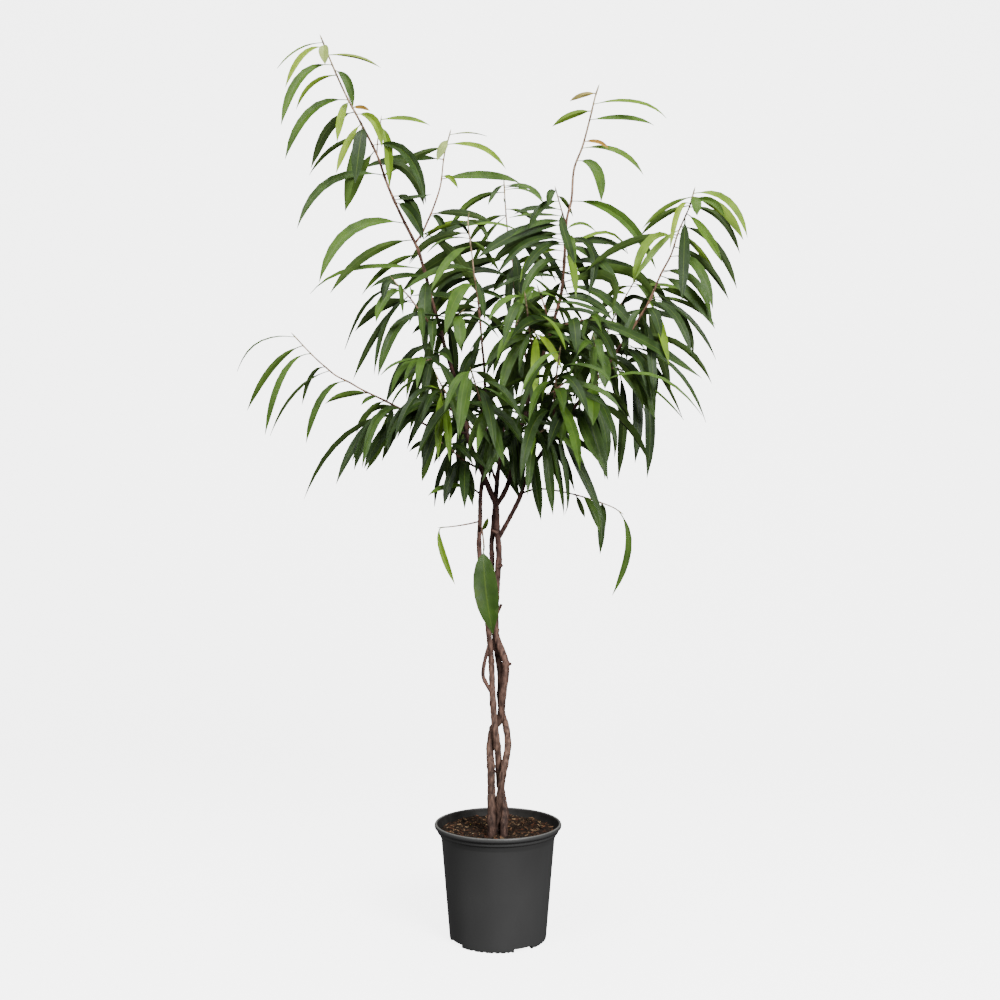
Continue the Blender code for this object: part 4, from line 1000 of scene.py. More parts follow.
        "stem": "stem_a", "cut": 0.25, "girth": (2.4, 1.4),
        "route": [(148, 1050, -26), (160, 1066, -54), (178, 1086, -80), (196, 1100, -98)],
        "leaves": [(0.20, 214, 912, -20, 70, 17), (0.80, 190, 1018, -60, 85, 26),
                   (0.50, 216, 938, 10, 70, 17), (0.30, 220, 910, -50, 55)],
        "fill": 6, "size": 185,
    },
    "spray_right_hang": {
        "stem": "stem_a", "cut": 0.22, "girth": (2.4, 1.4),
        "route": [(210, 1132, -33), (228, 1136, -10), (250, 1132, 10), (276, 1124, 22)],
        "leaves": [(0.40, 240, 914, -20, 80, 19, 26), (0.80, 274, 946, -30, 80, 19, 24),
                   (1.00, 298, 916, -20, 80, 19, 30)],
        "fill": 1, "size": 170,
    },
    "spray_right_thin": {
        "stem": "stem_a", "cut": 0.22, "girth": (2.2, 1.3),
        "route": [(176, 1087, -30), (192, 1134, 10), (216, 1204, 50), (238, 1250, 70), (256, 1282, 80),
                  (274, 1314, 84)],
        "leaves": [(0.70, 230, 1238, -40, 80), (0.98, 314, 1250, -60, 85), (0.80, 258, 1150, -40, 85),
                   (0.62, 384, 1222, 20, 50), (0.95, 204, 1250, 40, 70), (0.86, 228, 1284, -20, 60)],
        "fill": 4, "size": 180,
    },
    "spray_centre_up": {
        "stem": "stem_a", "cut": 0.25, "girth": (2.5, 1.4),
        "route": [(94, 1174, 20), (86, 1186, -20), (78, 1198, -60), (70, 1210, -92)],
        "leaves": [(0.30, 4, 1074, -50, 80), (0.80, 128, 1130, -60, 85), (0.50, 70, 1034, -30, 70),
                   (0.70, 74, 1070, -60, 70), (0.90, 0, 1214, 10, 50)],
        "fill": 4, "size": 175,
    },
    "spray_centre_right": {
        "stem": "stem_a", "cut": 0.25, "girth": (2.4, 1.4),
        "route": [(106, 1214, 22), (124, 1220, -2), (154, 1228, -27), (184, 1234, -42)],
        "leaves": [(0.30, 294, 1174, -20, 55), (0.60, 224, 1200, -40, 55), (1.00, 170, 1192, -20, 55)],
        "fill": 4, "size": 175,
    },
    "spray_behind": {
        "stem": "stem_a", "cut": 0.30, "girth": (3.0, 1.4),
        "route": [(65, 1106, 12), (60, 1134, 40), (54, 1170, 70), (48, 1204, 90), (40, 1250, 110),
                  (30, 1316, 125), (30, 1347, 130), (20, 1406, 135), (15, 1460, 138), (12, 1510, 140)],
        "leaves": [(1.00, -20, 1464, -30, 50), (0.95, -98, 1411, 20, 55), (0.98, 64, 1494, 20, 40),
                   (0.88, 12, 1470, -40, 55), (0.84, 90, 1410, 30, 50), (0.80, -60, 1385, 40, 55),
                   (0.50, -142, 1224, 20, 50), (0.62, -194, 1290, 40, 40), (0.55, 46, 1214, -40, 60),
                   (0.45, -10, 1290, 30, 40), (0.99, 90, 1474, -20, 45, 12)],
        "fill": 6, "size": 185,
    },
    "spray_back_left": {
        "stem": "stem_b", "cut": 0.3, "girth": (3.0, 1.4),
        "route": [(-2, 905, 46), (-30, 980, 100), (-70, 1040, 150), (-110, 1100, 200),
                  (-140, 1160, 240)],
        "leaves": [], "fill": 11, "size": 195,
    },
    "spray_back_right": {
        "stem": "stem_b", "cut": 0.3, "girth": (3.0, 1.4),
        "route": [(4, 966, 74), (60, 1050, 140), (120, 1100, 190), (180, 1150, 230), (220, 1210, 255)],
        "leaves": [], "fill": 11, "size": 195,
    },
    "spray_left_front": {
        "stem": "stem_a", "cut": 0.25, "girth": (2.2, 1.3),
        "route": [(-116, 1218, 12), (-102, 1226, -14), (-86, 1238, -42), (-70, 1250, -66)],
        "leaves": [(0.60, -76, 1174, -30, 70, 22), (0.30, -172, 1204, 20, 50, 12)],
        "fill": 4, "size": 165,
    },
    "spray_right_front": {
        "stem": "stem_a", "cut": 0.25, "girth": (2.2, 1.3),
        "route": [(198, 1114, -32), (198, 1136, -56), (196, 1164, -86), (192, 1192, -114)],
        "leaves": [(0.50, 214, 1092, -40, 80, 24)],
        "fill": 5, "size": 175,
    },
    "spray_centre_top": {
        "stem": "stem_a", "cut": 0.25, "girth": (2.2, 1.3),
        "route": [(101, 1198, 21), (100, 1228, -2), (92, 1262, -26), (80, 1296, -48)],
        "leaves": [(0.20, 40, 1290, -40, 55, 16)],
        "fill": 5, "size": 165,
    },
    "spray_front_left": {
        "stem": "stem_c", "cut": 0.3, "girth": (2.6, 1.4),
        "route": [(-25, 1020, 20), (-32, 1050, -50), (-42, 1090, -110), (-54, 1130, -170)],
        "leaves": [], "fill": 9, "size": 185,
    },
    "spray_front_high": {
        "stem": "stem_a", "cut": 0.25, "girth": (2.6, 1.4),
        "route": [(80, 1134, 16), (70, 1170, -40), (62, 1220, -100), (54, 1280, -150)],
        "leaves": [], "fill": 8, "size": 175,
    },
    "spray_front_right": {
        "stem": "stem_a", "cut": 0.25, "girth": (2.8, 1.4),
        "route": [(116, 1004, -22), (112, 1050, -80), (116, 1110, -140), (124, 1170, -190)],
        "leaves": [], "fill": 9, "size": 185,
    },
}
print("sprays", len(SPRAYS))

# %% [markdown]
# ## One leaf
#
# The leaf is long and narrow, folded along its rib like a shallow gutter, on a thin stalk. It could
# be a flat card with a picture on it, but then its edge and fold would be lost from the side. So it
# is a thin closed shape: a six-sided ring for the stalk, pulled out along Y and widened or
# narrowed at each station. Across it runs from -1 to 1, along it from 0 to 1.

# %% Leaf pattern
OUTLINE = [(0.00, 0.12), (0.05, 0.11), (0.10, 0.13), (0.15, 0.42), (0.22, 0.70), (0.33, 0.94),
           (0.46, 1.04), (0.58, 1.03), (0.70, 0.92), (0.82, 0.66), (0.92, 0.28), (1.00, 0.02)]
SECTION = [(1.0, 0.0), (0.5, 0.30), (0.0, 0.12), (-0.5, 0.30), (-1.0, 0.0), (0.0, -0.75)]
bpy.ops.object.select_all(action="DESELECT")
bpy.ops.mesh.primitive_circle_add(vertices=len(SECTION), radius=1, fill_type="NGON",
                                  rotation=(math.pi / 2, 0, 0))
pattern = bpy.context.object
pattern.name = "leaf_pattern"
settle(pattern)
for vertex, (x, z) in zip(pattern.data.vertices, SECTION):
    vertex.co = (x * OUTLINE[0][1], 0, z)
bpy.ops.object.mode_set(mode="EDIT")
bpy.ops.mesh.select_all(action="SELECT")
for (here, half), (further, next_half) in zip(OUTLINE, OUTLINE[1:]):
    bpy.ops.mesh.extrude_region_move(TRANSFORM_OT_translate={"value": (0, further - here, 0)})
    bpy.ops.transform.resize(value=(next_half / half, 1, 1), center_override=(0, further, 0))
bpy.ops.mesh.select_all(action="SELECT")
bpy.ops.mesh.normals_make_consistent(inside=False)
bpy.ops.object.mode_set(mode="OBJECT")
bpy.ops.object.shade_smooth()
where = pattern.data.uv_layers.new(name="leaf")
for loop in pattern.data.loops:
    x, y, z = pattern.data.vertices[loop.vertex_index].co
    half = min(OUTLINE, key=lambda station: abs(station[0] - y))[1]
    where.data[loop.index].uv = (x / half, y)
pattern.data.materials.append(UPPER_FINISH)
pattern.data.materials.append(LOWER_FINISH)
for face in pattern.data.polygons:
    face.material_index = int(face.normal.z < -0.05)
print("leaf faces", len(pattern.data.polygons))

# %% [markdown]
# A leaf bends as it hangs: out from the shoot over a knee and down to its tip. The copy's points are
# laid along that curve. The blade is rolled with its upper face up and partly to the onlooker, the
# two halves fold up from the rib, and each leaf gets its own wave and twist.

# %% Hang a leaf
STALK = 0.10
STALK_RADIUS = 1.25 * MM
WIDEST = 0.36
RIB_STEPS = 24
PLUMP = 1.10
FOLDS = (8, 30)
WAVES = (0.02, 0.10)
TWIST = 22
SWAY = 0.12


def leaf_rib(root, knee, tip):
    """Points along the leaf's rib: out from the twig over its knee and down to the tip."""
    shares = [i / RIB_STEPS for i in range(RIB_STEPS + 1)]
    return [root * (1 - t) ** 2 + knee * (2 * t * (1 - t)) + tip * t ** 2 for t in shares]


def blade_frame(rib, share, roll):
    """The rib's point at a share of its length, and the directions across and out of the blade."""
    centre = along(rib, share)
    heading = (along(rib, min(share + 0.02, 1.0)) - along(rib, min(share, 0.98))).normalized()
    reach = rib[-1] - rib[0]
    across = Vector((reach.y, -reach.x, 0.0)).normalized()
    side = (across - heading * across.dot(heading)).normalized()
    turned_side = Quaternion(heading, roll) @ side
    return centre, turned_side, turned_side.cross(heading)


def blade_roll(rib, turn):
    """How far the blade rolls about its rib to face the onlooker, turn at most."""
    _, side, upper = blade_frame(rib, WIDEST, 0.0)
    heading = upper.cross(side)
    over = math.pi if upper.z < 0 else 0.0
    if over:
        upper = -upper
    ahead = Vector((0.0, -1.0, 0.0))
    angle = math.atan2(heading.dot(upper.cross(ahead)), upper.dot(ahead))
    if abs(angle) > math.pi / 2:
        angle -= math.copysign(math.pi, angle)
    limit = math.radians(turn)
    return over + max(-limit, min(limit, angle))


def hang(pattern, rib, width, turn, age, draw):
    """A copy of the leaf pattern laid along its rib.

    Folds and twist are in degrees, wave and sway are shares of the width.
    """
    roll = blade_roll(rib, turn)
    fold = math.radians(draw.uniform(*FOLDS))
    wave = draw.uniform(*WAVES) * width
    phase = draw.uniform(0, math.tau)
    twist = math.radians(draw.uniform(-TWIST, TWIST))
    sway = draw.uniform(-SWAY, SWAY) * width
    twin = copy_of(pattern)
    frames = {}
    for vertex in twin.data.vertices:
        x, y, z = vertex.co
        share = round(y, 4)
        if share not in frames:
            frames[share] = blade_frame(rib, share, roll + twist * (share - WIDEST))
        centre, side, upper = frames[share]
        out = x * width * PLUMP / 2
        if share <= STALK:
            out = x / OUTLINE[0][1] * STALK_RADIUS
        ripple = wave * math.sin(phase + 9 * share) * (abs(x) ** 1.5) * (1 if x > 0 else 0.7)
        bow = sway * math.sin(math.pi * share)
        vertex.co = (centre + side * (out * math.cos(fold) + bow)
                     + upper * (abs(out) * math.sin(fold) + ripple + z * MM))
    stamp(twin, "age", [age] * len(twin.data.vertices))
    return twin


print("ready to hang leaves")

# %% [markdown]
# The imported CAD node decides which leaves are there. In the CAD, a leaf that would have crossed
# another piece was swung nearer or further along the line of sight. So each leaf tries the same
# swings here, and takes the one whose tip is a corner of the CAD mesh.

# %% Where the leaves of a shoot are
LAST_ROOT = 0.985
SWINGS = (0, 22, -22, 44, -44, 66, -66, 90, -90, 120, -120)
FLATTEST = 32
SLENDERNESS = 0.122
WIDTHS = (9 * MM, 26 * MM)
BENDS = (0.52, 0.78)
SAGS = (0.40, 0.04)
GOLDEN_ANGLE = 137.5
FILL_LENGTHS = (0.75, 1.08)
FILL_FALLS = (12, 62)
FILL_TURNS = (0, 45)
TWIG_STEP = 55 * MM


def leaf_width(length, share):
    """Long leaves are wider, and those near a shoot's end are narrower for their length."""
    return min(max(SLENDERNESS * length * (1.1 - 0.3 * share), WIDTHS[0]), WIDTHS[1])


def leaf_knee(root, tip, bend, bow):
    """Where the rib's curve turns down: well out from the root, and to a side.

    The further out it lies, the less it sags, so that some leaves arch and others hang straight.
    """
    out = tip - root
    sag = SAGS[0] + (SAGS[1] - SAGS[0]) * (bend - BENDS[0]) / (BENDS[1] - BENDS[0])
    rise = 0.03 * out.length + 0.12 * math.hypot(out.x, out.y)
    return Vector((root.x + bend * out.x + bow, root.y + bend * out.y,
                   root.z + rise + sag * min(out.z, 0.0)))


def leaf_places(twig, leaves, fill, size, draw):
    """The leaves of one twig as share, root, tip, turn, width, bend and bow.

    A listed leaf turns to the onlooker at least a little, or only its edge would be seen.
    """
    places = []
    for share, x, z, back, turn, *own in leaves:
        root = along(twig, share * LAST_ROOT)
        tip = seen(x, z, root.y / MM + back)
        width = own[0] * MM if own else leaf_width((tip - root).length, share)
        bow = own[1] * MM if len(own) > 1 else 0.0
        places.append((share * LAST_ROOT, root, tip, max(turn, FLATTEST), width,
                       draw.uniform(*BENDS), bow))
    start = draw.uniform(0, 360)
    for i in range(fill):
        share = (i + 0.7) / fill
        root = along(twig, min(share, LAST_ROOT))
        heading = math.radians(start + GOLDEN_ANGLE * i + draw.uniform(-20, 20))
        length = size * MM * draw.uniform(*FILL_LENGTHS) * (1.05 - 0.3 * share)
        fall = math.radians(draw.uniform(*FILL_FALLS))
        tip = root + length * Vector((math.cos(heading) * math.cos(fall),
                                      math.sin(heading) * math.cos(fall), -math.sin(fall)))
        places.append((min(share, LAST_ROOT), root, tip, draw.uniform(*FILL_TURNS),
                       leaf_width(length, share), draw.uniform(*BENDS), 0.0))
    return places


def corners_of(node):
    """The corners of a CAD node's mesh, ready to be searched."""
    tree = KDTree(len(node.data.vertices))
    for vertex in node.data.vertices:
        tree.insert(vertex.co, vertex.index)
    tree.balance()
    return tree


# %% How old each listed leaf looks
AGES = {
    "spray_leader_left": (0.62, 0.80, 0.50, 0.70, 0.42, 0.75, 0.20, 0.30, 0.78, 0.08, 0.45, 0.30, 0.50,
                          0.35, 0.45, 0.50, 0.25, 0.82, 0.35, 1.00, 0.74, 0.20, 0.15, 0.15, 0.86, 0.25,
                          0.86, 0.72, 0.86, 0.25, 0.20, 0.40, 0.70, 0.12, 0.10, 0.68, 0.66),
    "spray_leader_thin": (0.42, 0.20, 0.12, 0.10, 0.20, 0.15, 0.10, 0.20, 0.50, 0.15, 0.68),
    "spray_leader_tall": (0.95, 0.65, 0.60, 0.50, 0.55, 1.00, 0.45, 0.45, 0.15, 0.20),
    "spray_leader_right": (0.66, 0.66, 0.45, 0.12, 0.45, 0.52, 0.10, 0.60, 0.12, 0.35, 0.30, 0.30, 0.55,
                           0.40, 0.80, 0.60, 0.30, 0.08, 0.68, 0.10, 0.40, 0.08, 0.20, 0.15, 0.12, 0.25,
                           0.20, 0.25, 0.20),
    "spray_far_left": (0.35, 0.42, 0.46, 0.10, 0.20, 0.35, 0.50, 0.30, 0.35, 0.20, 0.15, 0.10, 0.12),
    "spray_left_mid": (0.05, 0.50, 0.08, 0.15, 0.30),
    "spray_low_left": (0.66,), "spray_low_front": (0.30, 0.60), "spray_diagonal": (0.40, 0.20, 0.15),
    "spray_fork_left": (0.45, 0.10), "spray_left_down": (0.06, 0.10, 0.05, 0.35, 0.12),
    "spray_right_hang": (0.05, 0.08, 0.10), "spray_right_low": (0.15, 0.42, 0.12),
    "spray_centre_up": (0.42, 0.75, 0.15, 0.70), "spray_centre_left": (0.15, 0.72)}
print("leaves with an age of their own", sum(len(ages) for ages in AGES.values()))

# %% Hang every spray
BUD = 9 * MM
CUT_LAP = 0.004
ON_CORNER = 0.4 * MM
missing = 0
hung = 0
shoots = {}
twigs = {}
for number, (node, spray) in enumerate(SPRAYS.items()):
    draw = random.Random(100 + number)
    look = random.Random(500 + number)
    corners = corners_of(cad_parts[node])
    ages = list(AGES.get(node, ()))
    pieces = shoots[node] = []
    for part in (spray, *spray.get("twigs", ())):
        points = [seen(*p) for p in part["route"]]
        coarse, fine = smooth(points, TWIG_STEP), smooth(points, 7 * MM)
        thick, thin = part["girth"]
        cut_share = part.get("cut", 0.0)
        if cut_share:
            middle = thick + (thin - thick) * cut_share
            coarse = part_of(coarse, cut_share, 1.0)
            old_wood = part_of(fine, 0.0, cut_share + CUT_LAP)
            wood[spray["stem"]].append(round_stem("branch", old_wood, (thick, middle), (0.3, 0.6),
                                                  seed=number))
            fine = part_of(fine, cut_share, 1.0)
            thick = middle
        twigs.setdefault(node, []).append(fine)
        places = leaf_places(coarse, part["leaves"], part.get("fill", 0), part.get("size", 0), draw)
        pieces.append(round_stem(node, fine, (thick, thin), (0.6, 0.95),
                                 [place[0] for place in places], number))
        end = fine[-1] + (fine[-1] - fine[-2]).normalized() * BUD
        pieces.append(round_stem("bud", [fine[-1], fine[-1].lerp(end, 0.3), end],
                                 (thin * 1.15, 0.25), (0.95, 1.0)))
        for share, root, tip, turn, width, bend, bow in places:
            swings = [slide(tip, swing) for swing in SWINGS]
            found = [end for end in swings if corners.find(end)[2] < ON_CORNER]
            age = min(look.uniform(0.0, 0.32) + 0.25 * share ** 2 + (look.random() < 0.06) * 0.3, 0.6)
            age = ages.pop(0) if ages else age
            if not found:
                missing += 1
                continue
            root = along(fine, share)
            rib = leaf_rib(root, leaf_knee(root, found[0], bend, bow), found[0])
            pieces.append(hang(pattern, rib, width, turn, age, look))
            hung += 1
print("leaves", hung, "not in the CAD", missing)

# %% [markdown]
# The CAD model has only so many triangles, so the crown is still a little thin. First come leaves
# that are read off the photograph, at its own pixels: where the leaf sits on its shoot, where the
# middle of its rib and its tip are seen, how far the tip lies behind the root, how far the face
# turns to the onlooker, width and age. A leaf that would cross another one is swung a little.

# %% Room for one more
def shape_of(piece):
    """The lowest and highest corner of a piece, and its faces ready to be searched."""
    points = [v.co.copy() for v in piece.data.vertices]
    low = [min(p[i] for p in points) for i in range(3)]
    high = [max(p[i] for p in points) for i in range(3)]
    return low, high, BVHTree.FromPolygons(points, [p.vertices[:] for p in piece.data.polygons])


class Crowd:
    """The pieces that stand already, so that a new leaf can be tried for room."""

    def __init__(self):
        self.held = []

    def hold(self, piece, owner=""):
        """Keep a piece. A leaf may touch its owner, the shoot it grows from."""
        self.held.append((owner, *shape_of(piece)))

    def has_room(self, piece, owner):
        """Whether a piece crosses nothing but its own shoot."""
        low, high, tree = shape_of(piece)
        for other_owner, other_low, other_high, other in self.held:
            apart = any(low[i] > other_high[i] or high[i] < other_low[i] for i in range(3))
            if not apart and other_owner != owner and tree.overlap(other):
                return False
        return True


crowd = Crowd()
for node, pieces in shoots.items():
    for piece in pieces:
        crowd.hold(piece, "" if piece.name.startswith(pattern.name) else node)
for pieces in wood.values():
    for piece in pieces:
        if not piece.name.startswith("branch"):
            crowd.hold(piece)
print("pieces that need room", len(crowd.held))

# %% Leaves read off the photograph
READ = {
    "spray_leader_tall": [
        ((566, 226), (570, 246), (577, 290), 10, 60, 15, 0.72),
        ((566, 242), (592, 258), (588, 297), -30, 60, 16, 0.10),
        ((566, 243), (606, 233), (628, 254), 20, 50, 10, 0.62),
        ((566, 272), (630, 272), (656, 309), -20, 60, 18, 0.40),
        ((563, 282), (609, 277), (611, 314), -40, 70, 19, 0.30),
        ((565, 262), (540, 266), (521, 300), -30, 60, 17, 0.32),
        ((566, 243), (528, 243), (496, 278), -50, 60, 14, 0.10),
        ((564, 248), (535, 256), (520, 284), -60, 60, 12, 0.58),
        ((561, 281), (528, 277), (492, 293), -40, 50, 14, 0.25),
        ((560, 298), (530, 298), (500, 330), -70, 60, 13, 0.50),
        ((562, 289), (604, 305), (650, 352), -50, 70, 20, 0.25),
        ((560, 300), (586, 298), (614, 322), 20, 50, 14, 0.20),
        ((566, 232), (580, 224), (596, 232), 10, 50, 9, 0.55),
        ((560, 214), (536, 209), (514, 215), -10, 60, 12, 0.15),
        ((561, 218), (536, 215), (509, 218), 20, 50, 10, 0.50),
        ((563, 222), (538, 224), (510, 238), -20, 60, 13, 0.30),
        ((555, 322), (520, 316), (484, 334), 30, 50, 9, 0.45)],
    "spray_right_thin": [
        ((624, 300), (655, 304), (692, 330), -30, 50, 16, 0.12),
        ((626, 298), (621, 318), (627, 347), -20, 60, 16, 0.08),
        ((622, 306), (600, 309), (584, 342), 20, 50, 14, 0.18),
        ((634, 283), (652, 284), (668, 308), -30, 60, 14, 0.30)],
    "spray_leader_right": [
        ((660, 290), (684, 297), (706, 316), 20, 50, 13, 0.42),
        ((668, 239), (649, 242), (633, 285), 0, 75, 16, 0.66),
        ((664, 275), (690, 280), (712, 318), -10, 60, 16, 0.38),
        ((652, 300), (643, 312), (648, 348), 20, 60, 16, 0.10),
        ((648, 310), (657, 342), (671, 391), -40, 60, 18, 0.10),
        ((658, 295), (683, 322), (693, 358), 10, 50, 14, 0.14),
        ((648, 312), (634, 318), (622, 352), 30, 50, 15, 0.20)],
    "spray_centre_right": [
        ((588, 322), (634, 338), (702, 380), -10, 70, 18, 0.25),
        ((580, 326), (604, 336), (618, 372), -30, 60, 16, 0.15)],
    "spray_right_hang": [
        ((620, 362), (648, 362), (655, 402), -10, 60, 16, 0.20),
        ((632, 374), (662, 398), (684, 421), 0, 40, 7, 0.50),
        ((612, 366), (632, 385), (656, 421), -30, 60, 18, 0.35)],
    "spray_right_low": [
        ((594, 391), (650, 377), (702, 417), 10, 40, 10, 0.50),
        ((582, 403), (584, 428), (604, 470), -20, 60, 18, 0.35),
        ((588, 398), (604, 425), (607, 466), -30, 60, 18, 0.20),
        ((592, 394), (612, 425), (614, 460), 20, 50, 12, 0.10)],
    "spray_front_right": [
        ((558, 400), (572, 430), (580, 474), -40, 70, 19, 0.40),
        ((562, 440), (583, 476), (604, 524), -20, 60, 18, 0.12),
        ((560, 448), (567, 484), (565, 516), 20, 50, 11, 0.10)],
    "spray_leader_left": [
        ((424, 238), (440, 229), (462, 223), 10, 40, 8, 0.60),
        ((424, 238), (452, 253), (486, 304), -40, 70, 20, 0.25),
        ((396, 196), (413, 205), (421, 240), 20, 70, 20, 0.08),
        ((383, 165), (408, 172), (424, 206), 30, 70, 19, 0.12),
        ((362, 128), (353, 165), (345, 211), 20, 75, 18, 0.50)],
    "spray_behind": [
        ((508, 228), (458, 227), (409, 264), -30, 60, 16, 0.25),
        ((511, 278), (470, 271), (434, 302), 0, 60, 17, 0.12),
        ((512, 270), (528, 258), (545, 268), -20, 50, 12, 0.40)],
    "spray_leader_thin": [
        ((469, 228), (500, 225), (524, 236), 20, 50, 9, 0.55),
        ((474, 270), (440, 270), (404, 292), -20, 60, 16, 0.35),
        ((479, 313), (463, 308), (444, 314), 10, 60, 12, 0.12),
        ((480, 319), (460, 318), (446, 338), 0, 60, 12, 0.20),
        ((484, 350), (470, 362), (459, 391), -80, 70, 22, 0.42)],
    "spray_left_mid": [
        ((401, 288), (386, 284), (382, 301), 10, 60, 10, 0.08),
        ((440, 336), (428, 355), (424, 410), -50, 70, 19, 0.12)],
    "spray_left_low": [
        ((444, 353), (412, 353), (386, 402), -20, 60, 15, 0.12),
        ((438, 358), (415, 371), (397, 390), 0, 50, 9, 0.15)],
    "spray_left_inner": [
        ((446, 395), (425, 390), (400, 418), 10, 40, 8, 0.58),
        ((452, 400), (430, 405), (412, 440), -30, 60, 16, 0.20)],
    "spray_left_front": [
        ((450, 320), (458, 330), (462, 354), -20, 60, 16, 0.20)],
    "spray_far_left": [
        ((404, 410), (374, 410), (355, 433), -10, 50, 11, 0.30),
        ((412, 414), (380, 418), (362, 470), -30, 60, 16, 0.30),
        ((400, 409), (372, 426), (352, 462), 30, 60, 15, 0.38),
        ((396, 406), (382, 440), (366, 472), 60, 70, 18, 0.42)],
    "spray_left_down": [
        ((456, 455), (458, 472), (449, 502), 20, 70, 13, 0.06),
        ((464, 461), (470, 478), (474, 500), -20, 70, 12, 0.12)]}
print("leaves to read off", sum(len(leaves) for leaves in READ.values()))

# %% From pixels to places
MIDDLE_PIXEL, FLOOR_PIXEL = 498, 937
PIXEL = 2


def seen_at(place):
    """The pixel of the photograph at which a place is seen."""
    flat = EYE + (place - EYE) * (-EYE.y / (place.y - EYE.y))
    return MIDDLE_PIXEL + flat.x / MM / PIXEL, FLOOR_PIXEL - flat.z / MM / PIXEL


def read_off(pixel, back):
    """The place seen at a pixel of the photograph, as far behind the pot's axis as back says."""
    return seen(PIXEL * (pixel[0] - MIDDLE_PIXEL), PIXEL * (FLOOR_PIXEL - pixel[1]), back)


def within_crown(rib):
    """Whether a leaf keeps inside the reach of the CAD model."""
    low, high = cad_box
    return all(low[i] < point[i] < high[i] for point in rib for i in range(3))


def try_leaf(node, rib, *looks):
    """Hang a leaf if it has room, and say whether it had."""
    if not within_crown(rib):
        return False
    twin = hang(pattern, rib, *looks)
    if not crowd.has_room(twin, node):
        bpy.data.objects.remove(twin)
        return False
    crowd.hold(twin)
    shoots[node].append(twin)
    return True


print("the pot is seen at pixel", [round(value) for value in seen_at(Vector())])

# %% Hang the leaves that were read off
OTHER_WAYS = [(shift, lift, swing) for shift in (0, 1, -1, 2, -2, 3) for lift in (0, 6, -5)
              for swing in (0, 25, -25, 50, -50, 80, -80)]
draw = random.Random(77)
placed = 0
for node, leaves in READ.items():
    for start, halfway, end, back, turn, width, age in leaves:
        spots = [p for twig in twigs[node] for p in twig[1:-1]]
        nearest = min(range(len(spots)), key=lambda i: math.dist(seen_at(spots[i]), start))
        for shift, lift, swing in OTHER_WAYS:
            root = spots[min(max(nearest + shift, 0), len(spots) - 1)]
            depth = root.y / MM
            tip = read_off(end, depth + back + swing)
            rib_middle = read_off((halfway[0], halfway[1] - lift), depth + (back + swing) / 2)
            knee = 2 * rib_middle - (root + tip) / 2
            if try_leaf(node, leaf_rib(root, knee, tip), width * MM, turn, age, draw):
                placed += 1
                break
print("leaves read off", placed, "of", sum(len(leaves) for leaves in READ.values()))

# %% [markdown]
# Then more leaves fill the crown by a rule: away from the stems, out and over in an arch. A leaf
# that would cross another leaf or a stem is drawn again, and so is one that would be seen in a gap
# of the crown, given as a pixel and a size. Each is drawn from the ranges below: its place on the
# shoot, its length in millimetres, how far it falls and how far it swerves from pointing away
# from the stems, both in degrees. The first few points of its rib may lie in a gap.

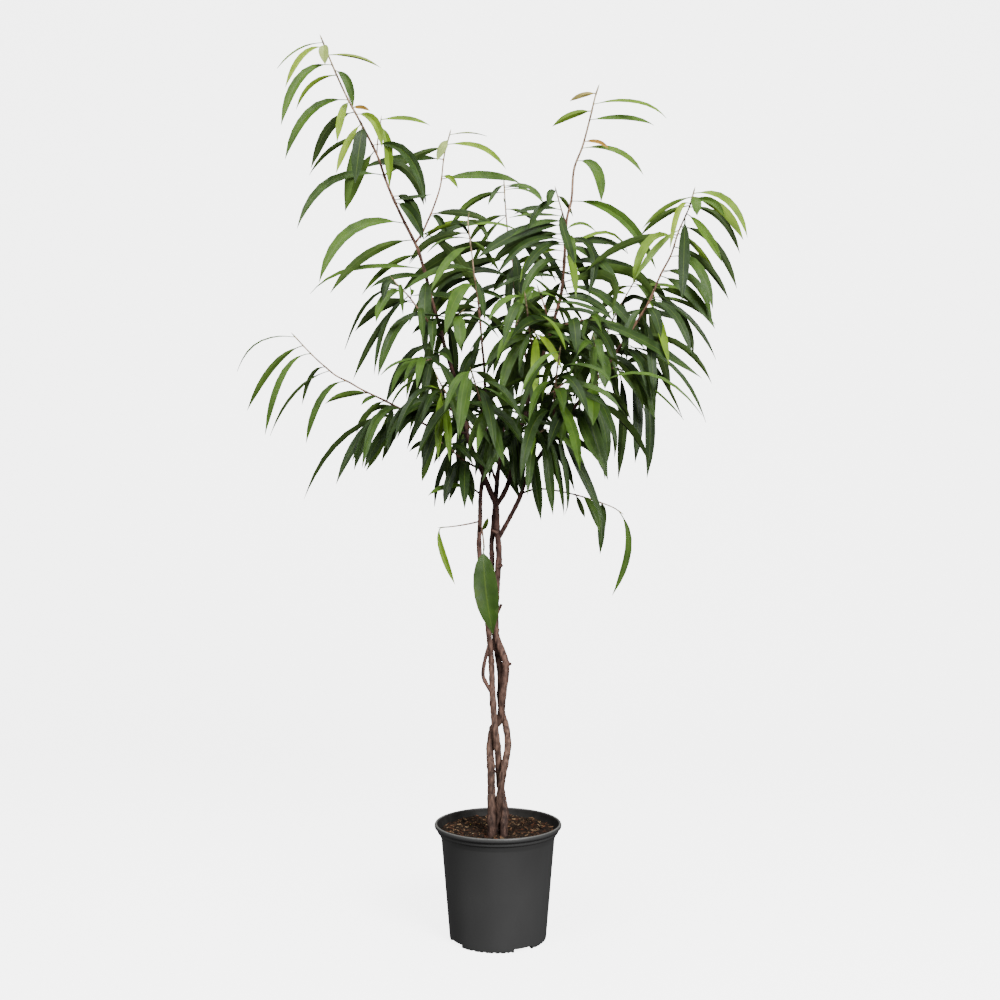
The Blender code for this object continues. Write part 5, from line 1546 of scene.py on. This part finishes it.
# %% Fill the crown
MORE = {"spray_leader_back": 6, "spray_right_thin": 7, "spray_right_front": 3, "spray_centre_right": 6,
        "spray_leader_thin": 4, "spray_behind": 3, "spray_centre_top": 4, "spray_left_front": 5,
        "spray_left_mid": 4, "spray_left_low": 4, "spray_left_inner": 5, "spray_left_down": 6,
        "spray_centre_low": 6, "spray_centre_left": 5, "spray_right_low": 3, "spray_front_left": 4,
        "spray_front_high": 5, "spray_front_right": 4, "spray_back_left": 8, "spray_back_right": 10,
        "spray_centre_up": 5}
OPEN = [((485, 250), 18), ((455, 255), 14), ((512, 282), 14), ((463, 312), 10), ((395, 372), 14),
        ((632, 375), 16), ((605, 395), 10), ((606, 345), 10), ((572, 455), 12), ((432, 428), 8),
        ((422, 505), 20), ((440, 535), 16), ((430, 478), 10), ((702, 262), 12), ((692, 345), 10),
        ((413, 345), 12), ((640, 440), 20), ((605, 425), 12), ((452, 345), 12), ((455, 462), 10),
        ((395, 462), 14), ((425, 464), 12), ((452, 492), 12), ((388, 255), 12), ((392, 318), 12)]
TRIES = 16
ON_SHOOT = (0.04, 0.97)
LENGTHS = (105, 175)
FALLS = (5, 55)
SWERVE = 110
FREE_POINTS = 5
added = 0
for number, (node, count) in enumerate(MORE.items()):
    draw = random.Random(900 + number)
    for i in range(count * TRIES):
        share = draw.uniform(*ON_SHOOT)
        root = along(twigs[node][0], share)
        heading = math.atan2(root.y, root.x) + math.radians(draw.uniform(-SWERVE, SWERVE))
        length = draw.uniform(*LENGTHS) * MM
        fall = math.radians(draw.uniform(*FALLS))
        level = length * math.cos(fall)
        out = Vector((level * math.cos(heading), level * math.sin(heading), -length * math.sin(fall)))
        knee = root + Vector((0.55 * out.x, 0.55 * out.y, draw.uniform(0.02, 0.2) * length))
        rib = leaf_rib(root, knee, root + out)
        if any(math.dist(seen_at(p), spot) < size for p in rib[FREE_POINTS:] for spot, size in OPEN):
            continue
        width = leaf_width(length, share) * draw.uniform(0.8, 1.05)
        if try_leaf(node, rib, width, draw.uniform(10, 60), draw.uniform(0.02, 0.45), draw):
            added += 1
            count -= 1
        if not count:
            break
print("leaves added", added)

# %% Close the sprays
for node, pieces in shoots.items():
    whole = join(node + "_leaves", pieces)
    bpy.ops.object.shade_smooth_by_angle(angle=math.radians(50))
    edit(whole)
    bpy.ops.mesh.select_all(action="SELECT")
    bpy.ops.mesh.normals_make_consistent(inside=False)
    leave_edit()
    for slot in whole.material_slots:
        if slot.material is None:
            slot.material = BARK_FINISH
    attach(whole, "root")
    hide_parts(node)
bpy.data.objects.remove(pattern)
print("sprays", len(shoots))

# %% Close the three stems
for node, pieces in wood.items():
    whole = join(node + "_bark", pieces)
    bpy.ops.object.shade_smooth_by_angle(angle=math.radians(60))
    whole.data.materials.append(BARK_FINISH)
    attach(whole, "root")
    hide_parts(node)
    print(whole.name, len(whole.data.polygons), "faces")
